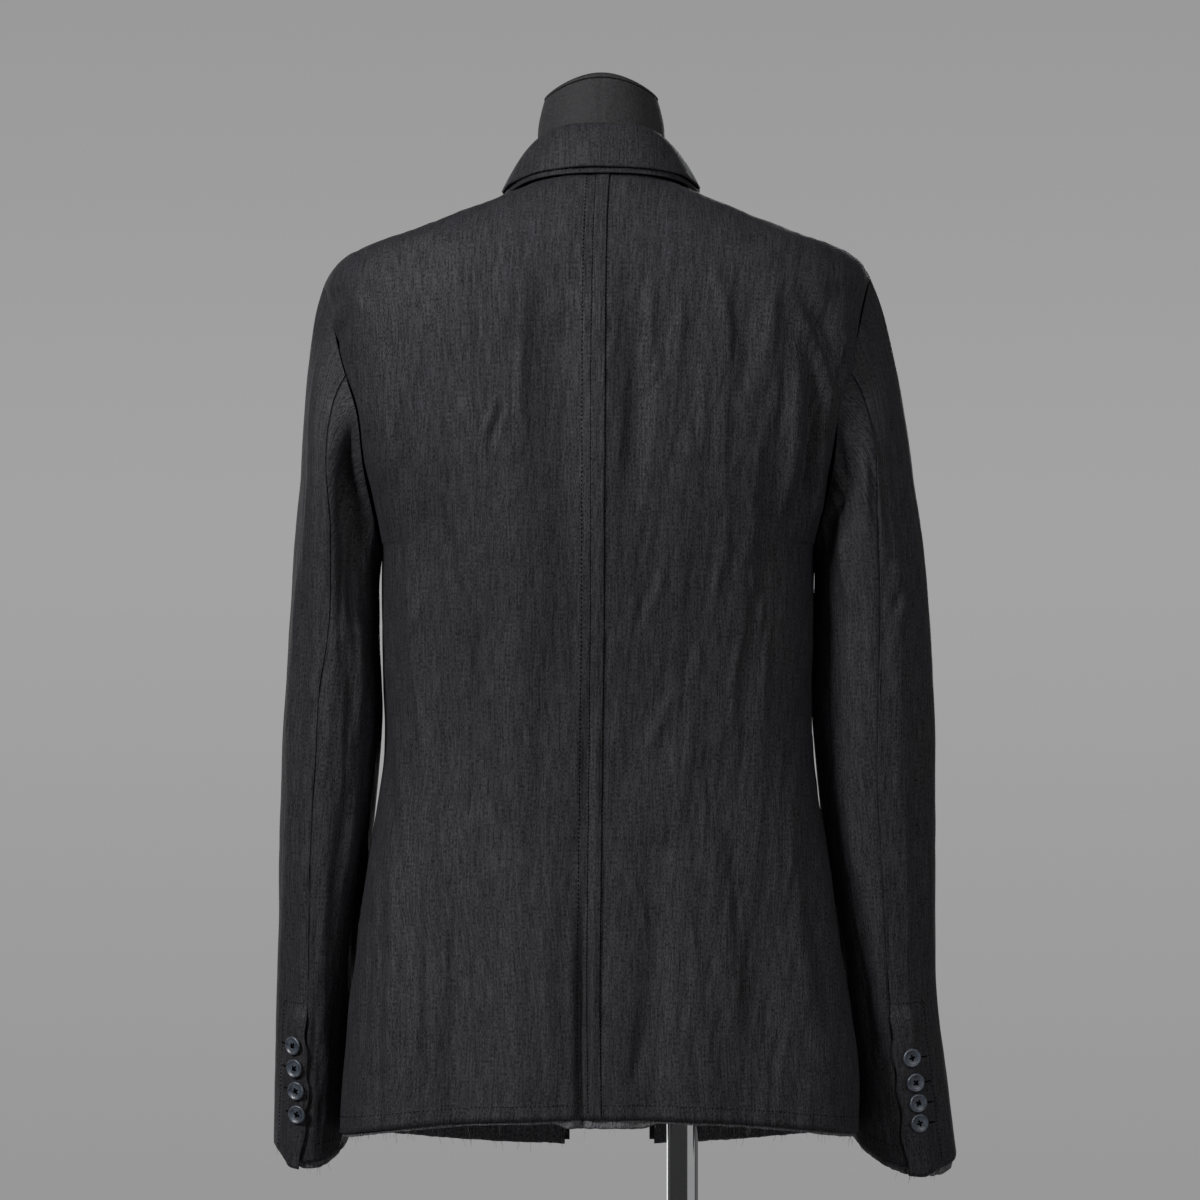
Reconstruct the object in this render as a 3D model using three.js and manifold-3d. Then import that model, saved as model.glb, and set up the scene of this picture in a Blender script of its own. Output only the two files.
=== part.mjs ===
// A tailored jacket, hanging open on a limbless dress form with a steel stand.
// Millimetres, +Z up. The jacket's front faces -Y and the wearer's left is +X.
// The origin lies under the stand's base, in the jacket's centre plane.

import * as THREE from "three";
import { mergeVertices } from "three/addons/utils/BufferGeometryUtils.js";
import Module from "manifold-3d";

// Cloth walls and the clearances between them
const seamGap = 0.4;
const layGap = 0.45; // between a panel and what lies on it or inside it
const shellWall = 1.6;
const collarWall = 2.0;
const stripWall = 1.1;

// Rows of the body's table where its regions start and end
const hemRow = 0;
const underarmRow = 10;
const tipRow = 18; // the shoulder's tip
const neckRow = 25;
const breakRow = 8.3; // where the lapels start to turn back
const bodyColumns = 10; // across each back and each front
const sleeveColumns = 16; // across each of a sleeve's two pieces
const sleeveRows = [0, 0.18, 0.45, 0.75, 1, 1.6, 2.3, 3, 4, 5, 6, 6.97, 7.05, 7.12, 7.45, 7.8, 8.25, 8.6, 9];
const cuffRow = 9;
const ventRow = 7.05; // where the cuff's vent starts

// Rings of the body from the hem up. sideL, sideR, back and front are heights, left and right
// half widths, midY the depth of the widest point, backY and frontY the depths at the centre,
// seamX the centre back seam, openL and openR the front edges, box how square the ring is.
const bodyTable = table(
  "sideL sideR back front left right midY backY frontY seamX openL openR box",
  [
    [653, 653, 671, 631, 208, 204, 30, 126, -132, 5, 26, 40, 0.03],
    [700, 700, 712, 682, 205.5, 204.5, 27, 123, -130, 5.5, 26, 40, 0.03],
    [748, 748, 756, 738, 202, 198, 23, 119, -128, 6, 26, 40, 0.03],
    [792, 792, 797, 786, 196, 191.5, 19, 115, -126, 6, 26, 39, 0.03],
    [838, 838, 841, 834, 190, 185, 15, 111, -124, 5.5, 26, 39, 0.03],
    [884, 884, 886, 881, 183.5, 179, 12, 108, -122, 5, 26, 38, 0.03],
    [930, 930, 931, 929, 176, 172, 9, 106, -121, 4.5, 26, 38, 0.03],
    [975, 975, 975, 975, 174, 168.5, 8, 106, -122, 4, 26, 38, 0.03],
    [1020, 1020, 1020, 1020, 175.5, 168.5, 7, 109, -125, 3.5, 27, 39, 0.03],
    [1066, 1066, 1066, 1066, 177, 169.5, 5, 114, -130, 3, 31, 41, 0.035],
    [1113, 1113, 1113, 1113, 177, 170.5, 1, 119, -134, 3, 36, 44, 0.04],
    [1121, 1122, 1140, 1140, 179.5, 174, 0, 121, -135.5, 2.8, 39, 46, 0.04],
    [1144, 1146, 1168, 1167, 187, 182, -1, 122, -136, 2.6, 42, 48, 0.045],
    [1179, 1182, 1197, 1194, 199, 193, -2, 122.5, -135, 2.4, 44.5, 50, 0.05],
    [1220, 1224, 1226, 1221, 208, 202, -1, 122, -132, 2.3, 47, 52, 0.05],
    [1261, 1266, 1256, 1248, 214, 208, 0, 121, -128, 2.2, 50, 54, 0.045],
    [1296, 1302, 1286, 1275, 218, 211.5, 0, 119, -122, 2, 52.5, 55.5, 0.04],
    [1318, 1325, 1314, 1300, 220.5, 214, 0, 115.5, -114, 1.8, 55, 57, 0.035],
    [1326, 1333, 1338, 1320, 222, 215, 0, 111, -106, 1.6, 57, 58.5, 0.03],
    [1338, 1346, 1353, 1333, 215, 206, 0, 106.5, -100, 1.2, 58.5, 59.5, 0.03],
    [1349.5, 1355.5, 1369, 1344, 204, 192, 0, 101, -94, 0.8, 59.5, 60, 0.03],
    [1358.5, 1362, 1383.5, 1353, 182, 171, -1, 95, -88, 0.2, 60.5, 60.5, 0.02],
    [1366.4, 1371, 1397, 1362, 150, 142, -2, 87, -81, -0.5, 61, 61, 0.02],
    [1379, 1383.5, 1408.5, 1370, 112, 108, -4, 78, -73, -1.2, 62, 62, 0.01],
    [1392, 1394.5, 1419, 1380, 80, 80, -6, 68, -66, -1.8, 63, 63, 0],
    [1408, 1409, 1430, 1390, 66, 66, -8, 60, -62, -2, 63, 63, 0],
  ],
);

// How far the back and the front reach towards the side between underarm and shoulder tip
const armholeTable = table("back front", [
  [1, 1],
  [0.985, 0.975],
  [0.97, 0.935],
  [0.945, 0.885],
  [0.925, 0.86],
  [0.955, 0.885],
  [0.98, 0.94],
  [0.995, 0.985],
  [1, 1],
]);

// The largest folds: from (x, top) to (lowX, low), with a width and a depth, outwards positive
const foldTable = table("x top lowX low width depth", [
  [48, 1340, 52, 1010, 26, -6],
  [-30, 1345, -24, 1150, 22, -6],
  [22, 1330, 24, 1040, 16, 3.5],
  [92, 1300, 84, 980, 34, 3],
  [128, 930, 137, 440, 26, -8],
  [182, 900, 176, 440, 24, 4],
  [92, 900, 98, 440, 22, 4],
  [60, 860, 56, 440, 18, -4],
  [-60, 1080, -54, 440, 24, -5],
  [-100, 1000, -104, 440, 26, 5],
  [-150, 960, -146, 440, 24, -6],
  [-176, 1290, -168, 1120, 16, 6],
  [-140, 1270, -132, 1020, 22, -5],
]);

// Sleeves by rings from the upper arm to the cuff: inner and outer half widths, depth of the
// middle, half depth, how far the outer side is raised and the back lowered, the back seam's angle
const sleeveColumnsNamed = "z inner outer midY halfY raise drop seam";
const leftSleeve = table(sleeveColumnsNamed, [
  [1122, 179, 241, -4, 66, 42, 0, 84],
  [1060, 177.5, 249, -9, 66, 22, 0, 87],
  [1000, 175.5, 252.5, -11, 65, 8, 0, 76],
  [940, 178.5, 255, -13, 63, 0, 0, 74],
  [880, 184.6, 256.5, -17, 61, 0, 0, 73],
  [820, 191.8, 258, -22, 59, 0, 0, 77],
  [760, 196.4, 260, -28, 58, 0, 4, 80],
  [702, 200.8, 262, -34, 56.5, 0, 10, 78],
  [645, 202.5, 264, -39, 55, 0, 18, 74],
]);
const rightSleeve = table(sleeveColumnsNamed, [
  [1128, 170.8, 250, -4, 64, 42, 0, 79],
  [1066, 169.4, 262, -9, 64, 22, 0, 83],
  [1004, 168.8, 266, -11, 62, 8, 0, 87],
  [942, 173, 266.5, -13, 60, 0, 0, 91],
  [880, 179.2, 266.5, -17, 58, 0, 0, 91],
  [820, 186.6, 267.5, -22, 57, 0, 0, 92],
  [760, 193, 269, -28, 56, 0, 4, 92],
  [702, 198.6, 277, -33, 55, -4, 10, 92],
  [641, 200, 286, -37, 54, -9, 18, 86],
]);
const armholeSeam = 72; // the back seam's angle at the armhole
const frontSeam = 247.5; // the front seam's angle
const capBulge = 30; // how full the sleeve's head stands off the shoulder
const sideBulge = 38;

// The vent's overlap past the seam on each side, and its wavy edge
const ventTable = table("row left right", [
  [7.05, 0, 0],
  [7.45, 1, 1.2],
  [7.8, 5, 1.6],
  [8.25, 8, 0.8],
  [8.6, 6, 2],
  [9, 1.5, 1],
]);
const ventLift = shellWall + 1.1;
const underlap = { rows: 5, columns: 3, start: 6, turn: -11 }; // angles from the seam
const cuffPerDegree = 0.75; // millimetres round the cuff

// The collar from the centre back round to its front end: the fold, and the edge that lies on
// the body at (row, angle)
const collarTable = table("x y z row angle", [
  [0, 57, 1452.5, 23.2, 0],
  [22, 53.5, 1452, 23.3, 21],
  [39, 40, 1448.5, 23.6, 40],
  [51, 18, 1440.5, 24.05, 64],
  [56.5, -9, 1431, 24.35, 91],
  [59.5, -33, 1415.5, 23.9, 116.5],
  [63, -53, 1396.5, 22.5, 136.5],
  [64.5, -73, 1377, 21.3, 146],
  [64, -87, 1361, 20.4, 150.5],
]);
const collarLift = 7.8; // of the collar's edge above the body
const underCollarReach = 0.08; // past the collar's edge, as a share of its height
const collarColumns = 14; // on each side
const collarRise = { reach: 4.6, columns: 20, lean: 1.1 }; // the collar's stand

// The lapels: widths at their foot and at the gorge, rows of their top edge at the fold and at
// the tip, how far they stand off the front and how much more their roll does
const lapel = { foot: 5, width: 84, topRow: 21, tipRow: 19.3, rows: 12, columns: 5 };
const lapelRise = { flat: 2.6, roll: 2.5 };

// The lapped strip over the centre back seam
const backLap = { half: 5, topRow: 24.5 };

// Raw-edged strips inside the hem and the cuffs: rows inside the wall and below it
const hemStrip = { top: 0.42, drop: -0.13, rows: 3 };
const cuffStrip = { top: 8.6, drop: 9.11, rows: 2, columns: 32 };

const sleeveButton = { radius: 7.5, depth: 3, lift: 0 };
// Where the buttons lie: the sleeve's row and millimetres from the seam
const leftButtons = table("row inset", [[7.56, 9.7], [7.84, 6.4], [8.12, 3.7], [8.41, 1.3]]);
const rightButtons = table("row inset", [[7.7, 12.8], [8, 13.3], [8.24, 13.3], [8.47, 12.1]]);
const frontButton = { radius: 10, depth: 3.6, lift: 0.45, inset: 17 };
const frontButtonHeights = [1003, 903];

// The form's rings from its foot to its neck; rise is how much higher the left shoulder is
const formTable = table("side back front half midY backY frontY rise", [
  [720, 720, 720, 158, 4, 92, -88, 0],
  [728, 728, 728, 164, 4, 97, -93, 0],
  [770, 770, 770, 168, 4, 101, -98, 0],
  [838, 838, 838, 164, 2, 98, -100, 0],
  [900, 900, 900, 153, 0, 91, -96, 0],
  [960, 960, 960, 145, -2, 88, -95, 0],
  [1020, 1020, 1020, 147, -3, 93, -101, 0],
  [1066, 1066, 1066, 152, -3, 100, -109, 0],
  [1110, 1113, 1113, 158, -3, 106, -117, 0],
  [1143, 1168, 1167, 164, -3, 110, -120, 0],
  [1178, 1197, 1194, 170, -2, 111, -119, 0],
  [1216, 1224, 1219, 175, -1, 111, -117, 0],
  [1254, 1252, 1246, 180, 0, 110, -114, 0],
  [1286, 1281, 1272, 184, 0, 109, -110, 0],
  [1312, 1308, 1296, 186, 0, 106.5, -105, 0],
  [1331, 1332, 1315, 186, 0, 103.5, -99, 0],
  [1346, 1350.5, 1329, 183, 0, 100.5, -95, 0],
  [1355.6, 1366, 1340, 176, 0, 96.5, -90, -2.4],
  [1361.8, 1380, 1349.5, 164, -1, 91, -84.5, -3.2],
  [1368.8, 1393.6, 1358.5, 139, -2, 83, -77.5, -3.6],
  [1382.2, 1405.2, 1366.5, 105, -4, 74, -69.5, -3.2],
  [1390.8, 1413.6, 1375.5, 78, -6, 64, -62.5, -2],
  [1404.5, 1423.5, 1389, 60, -7, 54.5, -58, -0.6],
  [1428, 1435, 1416, 52, -8, 49.5, -56, 0],
  [1452, 1456, 1448, 50.6, -8, 46.8, -54, 0],
  [1465, 1472, 1459, 48.2, -8, 44.6, -52, 0],
  [1474.6, 1489, 1466, 45.6, -8, 42.6, -49.5, 0],
]);
const formColumns = 30;
// The plate over the neck's last ring, and the shares of its rounded edge that have a ring
const neckCap = { gap: 0.4, rim: 1.4, round: 3.2, proud: 0.5, turn: 0.9 };
const neckCapRings = [0, 0.35, 0.65, 0.87, 1];

const pole = { x: -65, y: -5, radius: 12.5, socketGap: 0.3, socketDepth: 90, sides: 24 };
const base = { radius: 190, height: 6, bevel: 1.5, hubRadius: 30, hubTop: 26, hubHeight: 40 };

const colours = {
  cloth: 0x2c2c30,
  raw: 0x4a4a50,
  form: 0x17181a,
  button: 0x3a4048,
  steel: 0xc4c6c8,
};

// ---- Tables and curves ----

function table(names, rows) {
  const keys = names.split(" ");
  return rows.map((row) => Object.fromEntries(keys.map((key, i) => [key, row[i]])));
}

// One column of a table at any row, as a smooth curve through the rows
function column(rows, key, at) {
  const last = rows.length - 1;
  const i = Math.min(Math.max(Math.floor(at), 0), last - 1);
  const t = at - i;
  const b = rows[i][key];
  const c = rows[i + 1][key];
  if (t < 0 || t > 1) return b + (c - b) * t;
  const a = i > 0 ? rows[i - 1][key] : 2 * b - c;
  const d = i + 2 <= last ? rows[i + 2][key] : 2 * c - b;
  const cubic = (3 * (b - c) + d - a) * t;
  return b + 0.5 * t * (c - a + t * (2 * a - 5 * b + 4 * c - d + cubic));
}

function smooth(from, to, value) {
  const t = Math.min(Math.max((value - from) / (to - from), 0), 1);
  return t * t * (3 - 2 * t);
}

const radians = (degrees) => (degrees * Math.PI) / 180;
const vector = (x, y, z) => new THREE.Vector3(x, y, z);
const moved = (p, direction, length) => p.clone().addScaledVector(direction, length);

// ---- The body ----

// A ring's point: angle 0 at the centre back, 90 at the side and 180 at the centre front
function ringPoint(ring, side, angle) {
  const a = radians(angle);
  const box = ring.box ?? 0;
  const across = (Math.sin(a) + box * Math.sin(3 * a)) / (1 - box);
  const along = (Math.cos(a) - box * Math.cos(3 * a)) / (1 - box);
  const centre = Math.cos(a) ** 2;
  const depth = angle < 90 ? ring.backY - ring.midY : ring.midY - ring.frontY;
  const height = angle < 90 ? ring.back : ring.front;
  const seam = angle < 90 ? (ring.seamX ?? 0) * centre : 0;
  return vector(
    side * ring.half * across + seam,
    ring.midY + depth * along,
    ring.side + (height - ring.side) * centre,
  );
}

function bodyRing(side, row) {
  const at = (key) => column(bodyTable, key, row);
  return {
    side: at(side > 0 ? "sideL" : "sideR"),
    half: at(side > 0 ? "left" : "right"),
    open: at(side > 0 ? "openL" : "openR"),
    back: at("back"),
    front: at("front"),
    midY: at("midY"),
    backY: at("backY"),
    frontY: at("frontY"),
    seamX: at("seamX"),
    box: at("box"),
  };
}

// How far the folds move the cloth at a place
function foldDepth(p) {
  let depth = 0;
  for (const fold of foldTable) {
    const t = (fold.top - p.z) / (fold.top - fold.low);
    if (t <= 0 || t >= 1) continue;
    const centre = fold.x + (fold.lowX - fold.x) * t;
    const away = (p.x - centre) / fold.width;
    depth += fold.depth * Math.sin(Math.PI * t) ** 0.8 * Math.exp(-away * away);
  }
  return depth;
}

function bodyPoint(side, row, angle) {
  const ring = bodyRing(side, row);
  const p = ringPoint(ring, side, angle);
  const a = radians(angle);
  const onBack = smooth(84, 66, angle); // the folds lie on the back
  if (onBack > 0) {
    const depth = foldDepth(p) * onBack;
    p.x += side * depth * Math.sin(a) * 0.6;
    p.y += depth * Math.cos(a);
  }
  return p;
}

// The angle at which a ring reaches a share of its half width, on the back
function angleAt(share, box) {
  let low = 0;
  let high = 90;
  for (let i = 0; i < 30; i++) {
    const middle = (low + high) / 2;
    const a = radians(middle);
    if ((Math.sin(a) + box * Math.sin(3 * a)) / (1 - box) < share) low = middle;
    else high = middle;
  }
  return high > 89.999 ? 90 : (low + high) / 2;
}

function edgeAngle(row, part) {
  if (row <= underarmRow || row >= tipRow) return 90;
  const share = column(armholeTable, part, row - underarmRow);
  const angle = angleAt(Math.min(share, 1), column(bodyTable, "box", row));
  return part === "back" ? angle : 180 - angle;
}

function openAngle(side, row, inset = 0) {
  const ring = bodyRing(side, row);
  return 180 - angleAt((ring.open + inset) / ring.half, ring.box);
}

// The outward direction of a surface, from its neighbours in two directions
function outward(surface, u, v, side) {
  const rowStep = 0.02;
  const turnStep = 0.4;
  const alongU = surface(u + rowStep, v).sub(surface(u - rowStep, v));
  const alongV = surface(u, v + turnStep).sub(surface(u, v - turnStep));
  return alongU.cross(alongV).normalize().multiplyScalar(side);
}

function bodyNormal(side, row, angle) {
  const surface = (u, v) => bodyPoint(side, u, v);
  return outward(surface, Math.min(row, neckRow - 0.02), Math.max(angle, 0.5), side);
}

// ---- The sleeves ----

const sleeveTable = (side) => (side > 0 ? leftSleeve : rightSleeve);

// The armhole: angle 0 at the shoulder's tip, 90 at the back, 180 at the underarm
function armhole(side, angle) {
  const turned = ((angle % 360) + 360) % 360;
  const part = turned <= 180 ? "back" : "front";
  const down = turned <= 180 ? turned / 180 : (360 - turned) / 180;
  const row = tipRow - down * (tipRow - underarmRow);
  return { row, part, angle: edgeAngle(row, part) };
}

// Between two rows the armhole runs straight, as the panels' edges do
function armholePoint(side, angle) {
  const step = 180 / (tipRow - underarmRow);
  const first = Math.floor(angle / step + 1e-6) * step;
  const ends = [first, first + step].map((a) => {
    const at = armhole(side, a);
    return bodyPoint(side, at.row, at.angle);
  });
  return ends[0].lerp(ends[1], (angle - first) / step);
}

function sleeveRing(side, row, angle) {
  const rows = sleeveTable(side);
  const at = (key) => column(rows, key, row - 1);
  const a = radians(angle);
  const centre = (at("inner") + at("outer")) / 2;
  const half = (at("outer") - at("inner")) / 2;
  return vector(
    side * (centre + half * Math.cos(a)),
    at("midY") + at("halfY") * Math.sin(a),
    at("z") + at("raise") * Math.cos(a) - at("drop") * Math.sin(a),
  );
}

// The sleeve: row 0 is the armhole, 1 the upper arm, 9 the cuff
function sleevePoint(side, row, angle) {
  if (row >= 1) return sleeveRing(side, row, angle);
  const start = armholePoint(side, angle);
  const end = sleeveRing(side, 1, angle);
  const a = radians(angle);
  const chord = end.clone().sub(start);
  const bulge = capBulge * (0.5 + 0.5 * Math.cos(a)) + sideBulge * Math.sin(a) ** 2;
  const leave = chord.clone().add(vector(side * bulge, 0, 0));
  const arrive = sleeveRing(side, 1.3, angle).sub(end).setLength(chord.length());
  const t = row;
  return start
    .multiplyScalar(2 * t ** 3 - 3 * t ** 2 + 1)
    .addScaledVector(leave, t ** 3 - 2 * t ** 2 + t)
    .addScaledVector(end, 3 * t ** 2 - 2 * t ** 3)
    .addScaledVector(arrive, t ** 3 - t ** 2);
}

function sleeveNormal(side, row, angle) {
  const surface = (u, v) => sleevePoint(side, u, v);
  return outward(surface, Math.max(row, 0.03), angle, side);
}

// Where body and sleeve meet, both walls end on one mitre
function armholeNormal(side, angle) {
  const at = armhole(side, angle);
  return bodyNormal(side, at.row, at.angle).add(sleeveNormal(side, 0, angle)).normalize();
}

function seamAngle(side, row) {
  const start = smooth(0, 1, row);
  const seam = column(sleeveTable(side), "seam", Math.max(row - 1, 0));
  return armholeSeam + (seam - armholeSeam) * start;
}

// ---- Walls ----

// Half a seam's gap, square to the seam and to the wall, towards a piece
function seamShift(normal, along, towards) {
  const across = normal.clone().cross(along).normalize();
  return across.multiplyScalar((Math.sign(across.dot(towards)) * seamGap) / 2);
}

function meshOf(name, colour, positions, faces, finish = {}) {
  const geometry = new THREE.BufferGeometry();
  geometry.setAttribute("position", new THREE.Float32BufferAttribute(positions, 3));
  geometry.setIndex(volume(positions, faces) < 0 ? faces.map(flipped) : faces);
  geometry.computeVertexNormals();
  const material = new THREE.MeshStandardMaterial({ color: colour, roughness: 0.8, ...finish });
  const mesh = new THREE.Mesh(geometry, material);
  mesh.name = name;
  return mesh;
}

// Swaps the last two corners of each triangle in a flat list of indices
function flipped(_, i, faces) {
  return faces[i % 3 === 0 ? i : i % 3 === 1 ? i + 1 : i - 1];
}

function volume(positions, faces) {
  let sum = 0;
  const corner = (i) => vector(...positions.slice(3 * i, 3 * i + 3));
  for (let i = 0; i < faces.length; i += 3) {
    sum += corner(faces[i]).dot(corner(faces[i + 1]).cross(corner(faces[i + 2])));
  }
  return sum;
}

// A cloth wall over rows by columns of places, each { p, normal, shift }.
// A round wall's last column joins its first.
function wall(name, colour, rows, columns, place, thickness, round = false) {
  const positions = [];
  const faces = [];
  const count = round ? columns : columns + 1;
  for (const depth of [0, -thickness]) {
    for (let j = 0; j <= rows; j++) {
      for (let i = 0; i < count; i++) {
        const { p, normal, shift } = place(j, i);
        const point = moved(p, normal, depth);
        if (shift) point.add(shift);
        positions.push(...point.toArray());
      }
    }
  }
  const layer = (rows + 1) * count;
  const index = (k, j, i) => k * layer + j * count + (i % count);
  const quad = (a, b, c, d) => faces.push(a, b, c, a, c, d);
  for (let j = 0; j < rows; j++) {
    for (let i = 0; i < columns; i++) {
      quad(index(0, j, i), index(0, j, i + 1), index(0, j + 1, i + 1), index(0, j + 1, i));
      quad(index(1, j + 1, i), index(1, j + 1, i + 1), index(1, j, i + 1), index(1, j, i));
    }
    if (round) continue;
    quad(index(0, j + 1, 0), index(1, j + 1, 0), index(1, j, 0), index(0, j, 0));
    const e = columns;
    quad(index(0, j, e), index(1, j, e), index(1, j + 1, e), index(0, j + 1, e));
  }
  for (let i = 0; i < columns; i++) {
    quad(index(0, 0, i + 1), index(0, 0, i), index(1, 0, i), index(1, 0, i + 1));
    const e = rows;
    quad(index(0, e, i), index(0, e, i + 1), index(1, e, i + 1), index(1, e, i));
  }
  return meshOf(name, colour, positions, faces);
}

// A solid through closed rings of points, flat at both ends
function ringSolid(name, colour, rings, finish) {
  const count = rings[0].length;
  const positions = rings.flat().flatMap((p) => p.toArray());
  const faces = [];
  for (let j = 0; j + 1 < rings.length; j++) {
    for (let i = 0; i < count; i++) {
      const a = j * count + i;
      const b = j * count + ((i + 1) % count);
      faces.push(a, b, b + count, a, b + count, a + count);
    }
  }
  for (const [ring, start] of [[rings[0], 0], [rings.at(-1), (rings.length - 1) * count]]) {
    const centre = ring.reduce((sum, p) => sum.add(p), vector(0, 0, 0)).divideScalar(count);
    const hub = positions.push(...centre.toArray()) / 3 - 1;
    for (let i = 0; i < count; i++) {
      const a = start + i;
      const b = start + ((i + 1) % count);
      if (start) faces.push(a, b, hub);
      else faces.push(b, a, hub);
    }
  }
  return meshOf(name, colour, positions, faces, finish);
}

function lathe(name, colour, profile, finish = {}) {
  const geometry = new THREE.LatheGeometry(
    profile.map(([r, z]) => new THREE.Vector2(r, z)),
    finish.segments ?? 40,
  );
  geometry.rotateX(Math.PI / 2);
  const { roughness = 0.5, metalness = 0 } = finish;
  const material = new THREE.MeshStandardMaterial({ color: colour, roughness, metalness });
  const mesh = new THREE.Mesh(geometry, material);
  mesh.name = name;
  return mesh;
}

// ---- Backs and fronts ----

// The shift of a panel's outer edge off its neighbours: the sleeve, or the panel over the seam
function edgeShift(side, row, part, normal) {
  const towards = vector(0, part === "back" ? 1 : -1, 0);
  const shift = vector(0, 0, 0);
  const inArmhole = row >= underarmRow && row <= tipRow;
  if (inArmhole) {
    const angle = ((tipRow - row) / (tipRow - underarmRow)) * 180;
    const turn = part === "back" ? angle : 360 - angle;
    const along = armholePoint(side, turn + 2).sub(armholePoint(side, turn - 2));
    shift.add(seamShift(normal, along, vector(-side, 0, 0)));
  }
  if (row <= underarmRow || row >= tipRow) shift.add(towards.multiplyScalar(seamGap / 2));
  return shift;
}

function panelEdge(side, row, part) {
  const angle = edgeAngle(row, part);
  const inArmhole = row >= underarmRow && row <= tipRow;
  const turn = ((tipRow - row) / (tipRow - underarmRow)) * 180;
  const normal = inArmhole
    ? armholeNormal(side, part === "back" ? turn : 360 - turn)
    : bodyNormal(side, row, angle);
  return { p: bodyPoint(side, row, angle), normal, shift: edgeShift(side, row, part, normal) };
}

function backPanel(side, name) {
  const place = (row, i) => {
    if (i === bodyColumns) return panelEdge(side, row, "back");
    const angle = (edgeAngle(row, "back") * i) / bodyColumns;
    const shift = i === 0 ? vector((side * seamGap) / 2, 0, 0) : null;
    return { p: bodyPoint(side, row, angle), normal: bodyNormal(side, row, angle), shift };
  };
  return wall(name, colours.cloth, neckRow, bodyColumns, place, shellWall);
}

function frontPanel(side, name) {
  const place = (row, i) => {
    if (i === 0) return panelEdge(side, row, "front");
    const from = edgeAngle(row, "front");
    const angle = from + ((openAngle(side, row) - from) * i) / bodyColumns;
    return { p: bodyPoint(side, row, angle), normal: bodyNormal(side, row, angle) };
  };
  return wall(name, colours.cloth, neckRow, bodyColumns, place, shellWall);
}

// A lapel lies on its front from the fold outwards
function lapelPanel(side, name) {
  const place = (j, i) => {
    const out = i / lapel.columns;
    const top = lapel.topRow + (lapel.tipRow - lapel.topRow) * out;
    const up = j / lapel.rows;
    const row = breakRow + (top - breakRow) * up;
    const width = lapel.foot + (lapel.width - lapel.foot) * up ** 0.9;
    const angle = openAngle(side, row, width * out);
    const normal = bodyNormal(side, row, angle);
    const rise = lapelRise.flat + lapelRise.roll * Math.sin(Math.PI * Math.sqrt(out));
    return { p: moved(bodyPoint(side, row, angle), normal, rise), normal };
  };
  return wall(name, colours.cloth, lapel.rows, lapel.columns, place, shellWall);
}

function backStrip() {
  const place = (j, i) => {
    const row = Math.min(j, backLap.topRow);
    const offset = (i - 1) * backLap.half;
    const side = offset < 0 ? -1 : 1;
    const ring = bodyRing(side, row);
    const angle = angleAt(Math.abs(offset) / ring.half, ring.box);
    const normal = bodyNormal(side, row, angle);
    return { p: moved(bodyPoint(side, row, angle), normal, layGap + stripWall), normal };
  };
  return wall("back_seam_strip", colours.cloth, neckRow, 2, place, stripWall);
}

// A raw-edged strip inside the hem, through signed angles (negative on the right)
function hemEdge(name, angles) {
  const inside = shellWall + 2 * layGap;
  const place = (j, i) => {
    const side = angles[i] < 0 ? -1 : 1;
    const angle = Math.abs(angles[i]);
    const row = hemStrip.top + ((hemStrip.drop - hemStrip.top) * j) / hemStrip.rows;
    const normal = bodyNormal(side, row, angle);
    return { p: moved(bodyPoint(side, row, angle), normal, -inside), normal };
  };
  return wall(name, colours.raw, hemStrip.rows, angles.length - 1, place, stripWall);
}

// The panels' own column angles at the hem, drawn in a little from the seams
function hemAngles(from, to) {
  const angles = Array.from({ length: bodyColumns + 1 }, (_, i) => i / bodyColumns);
  angles[0] = 0.02;
  angles[bodyColumns] = 0.98;
  return angles.map((t) => from + (to - from) * t);
}

// ---- Sleeve pieces ----

function sleeveEdge(side, row, angle, towards) {
  const place = { p: sleevePoint(side, row, angle) };
  place.normal = row === 0 ? armholeNormal(side, angle) : sleeveNormal(side, row, angle);
  place.shift = vector(0, 0, 0);
  if (towards) {
    const along = sleevePoint(side, row + 0.1, angle).sub(place.p);
    const across = sleevePoint(side, Math.max(row, 0.1), angle + towards).sub(
      sleevePoint(side, Math.max(row, 0.1), angle),
    );
    place.shift.add(seamShift(place.normal, along, across));
  }
  if (row === 0) {
    const along = armholePoint(side, angle + 2).sub(armholePoint(side, angle - 2));
    place.shift.add(seamShift(place.normal, along, vector(side, 0, 0)));
  }
  return place;
}

// The angle that a length along the cuff spans
const cuffTurn = (length) => length / cuffPerDegree;

function ventReach(side, row) {
  const key = side > 0 ? "left" : "right";
  let at = 0;
  while (at < ventTable.length - 2 && row > ventTable[at + 1].row) at++;
  const [a, b] = [ventTable[at], ventTable[at + 1]];
  return a[key] + ((b[key] - a[key]) * (row - a.row)) / (b.row - a.row);
}

// The top sleeve runs from the front seam over the outside to the back seam, where it laps
// over the under sleeve along the vent
function topSleeve(side, name) {
  const place = (j, i) => {
    const row = sleeveRows[j];
    const from = frontSeam - 360;
    const to = seamAngle(side, row);
    const angle = from + ((to - from) * i) / sleeveColumns;
    const towards = i === 0 ? 1 : i === sleeveColumns ? -1 : 0;
    if (row < ventRow) return sleeveEdge(side, row, angle, towards);
    const lapped = smooth(sleeveColumns - 4, sleeveColumns - 1, i);
    const spread = cuffTurn(ventReach(side, row)) * lapped;
    const at = sleeveEdge(side, row, angle + spread, i === 0 ? 1 : 0);
    at.p.addScaledVector(at.normal, ventLift * lapped);
    return at;
  };
  return wall(name, colours.cloth, sleeveRows.length - 1, sleeveColumns, place, shellWall);
}

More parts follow.
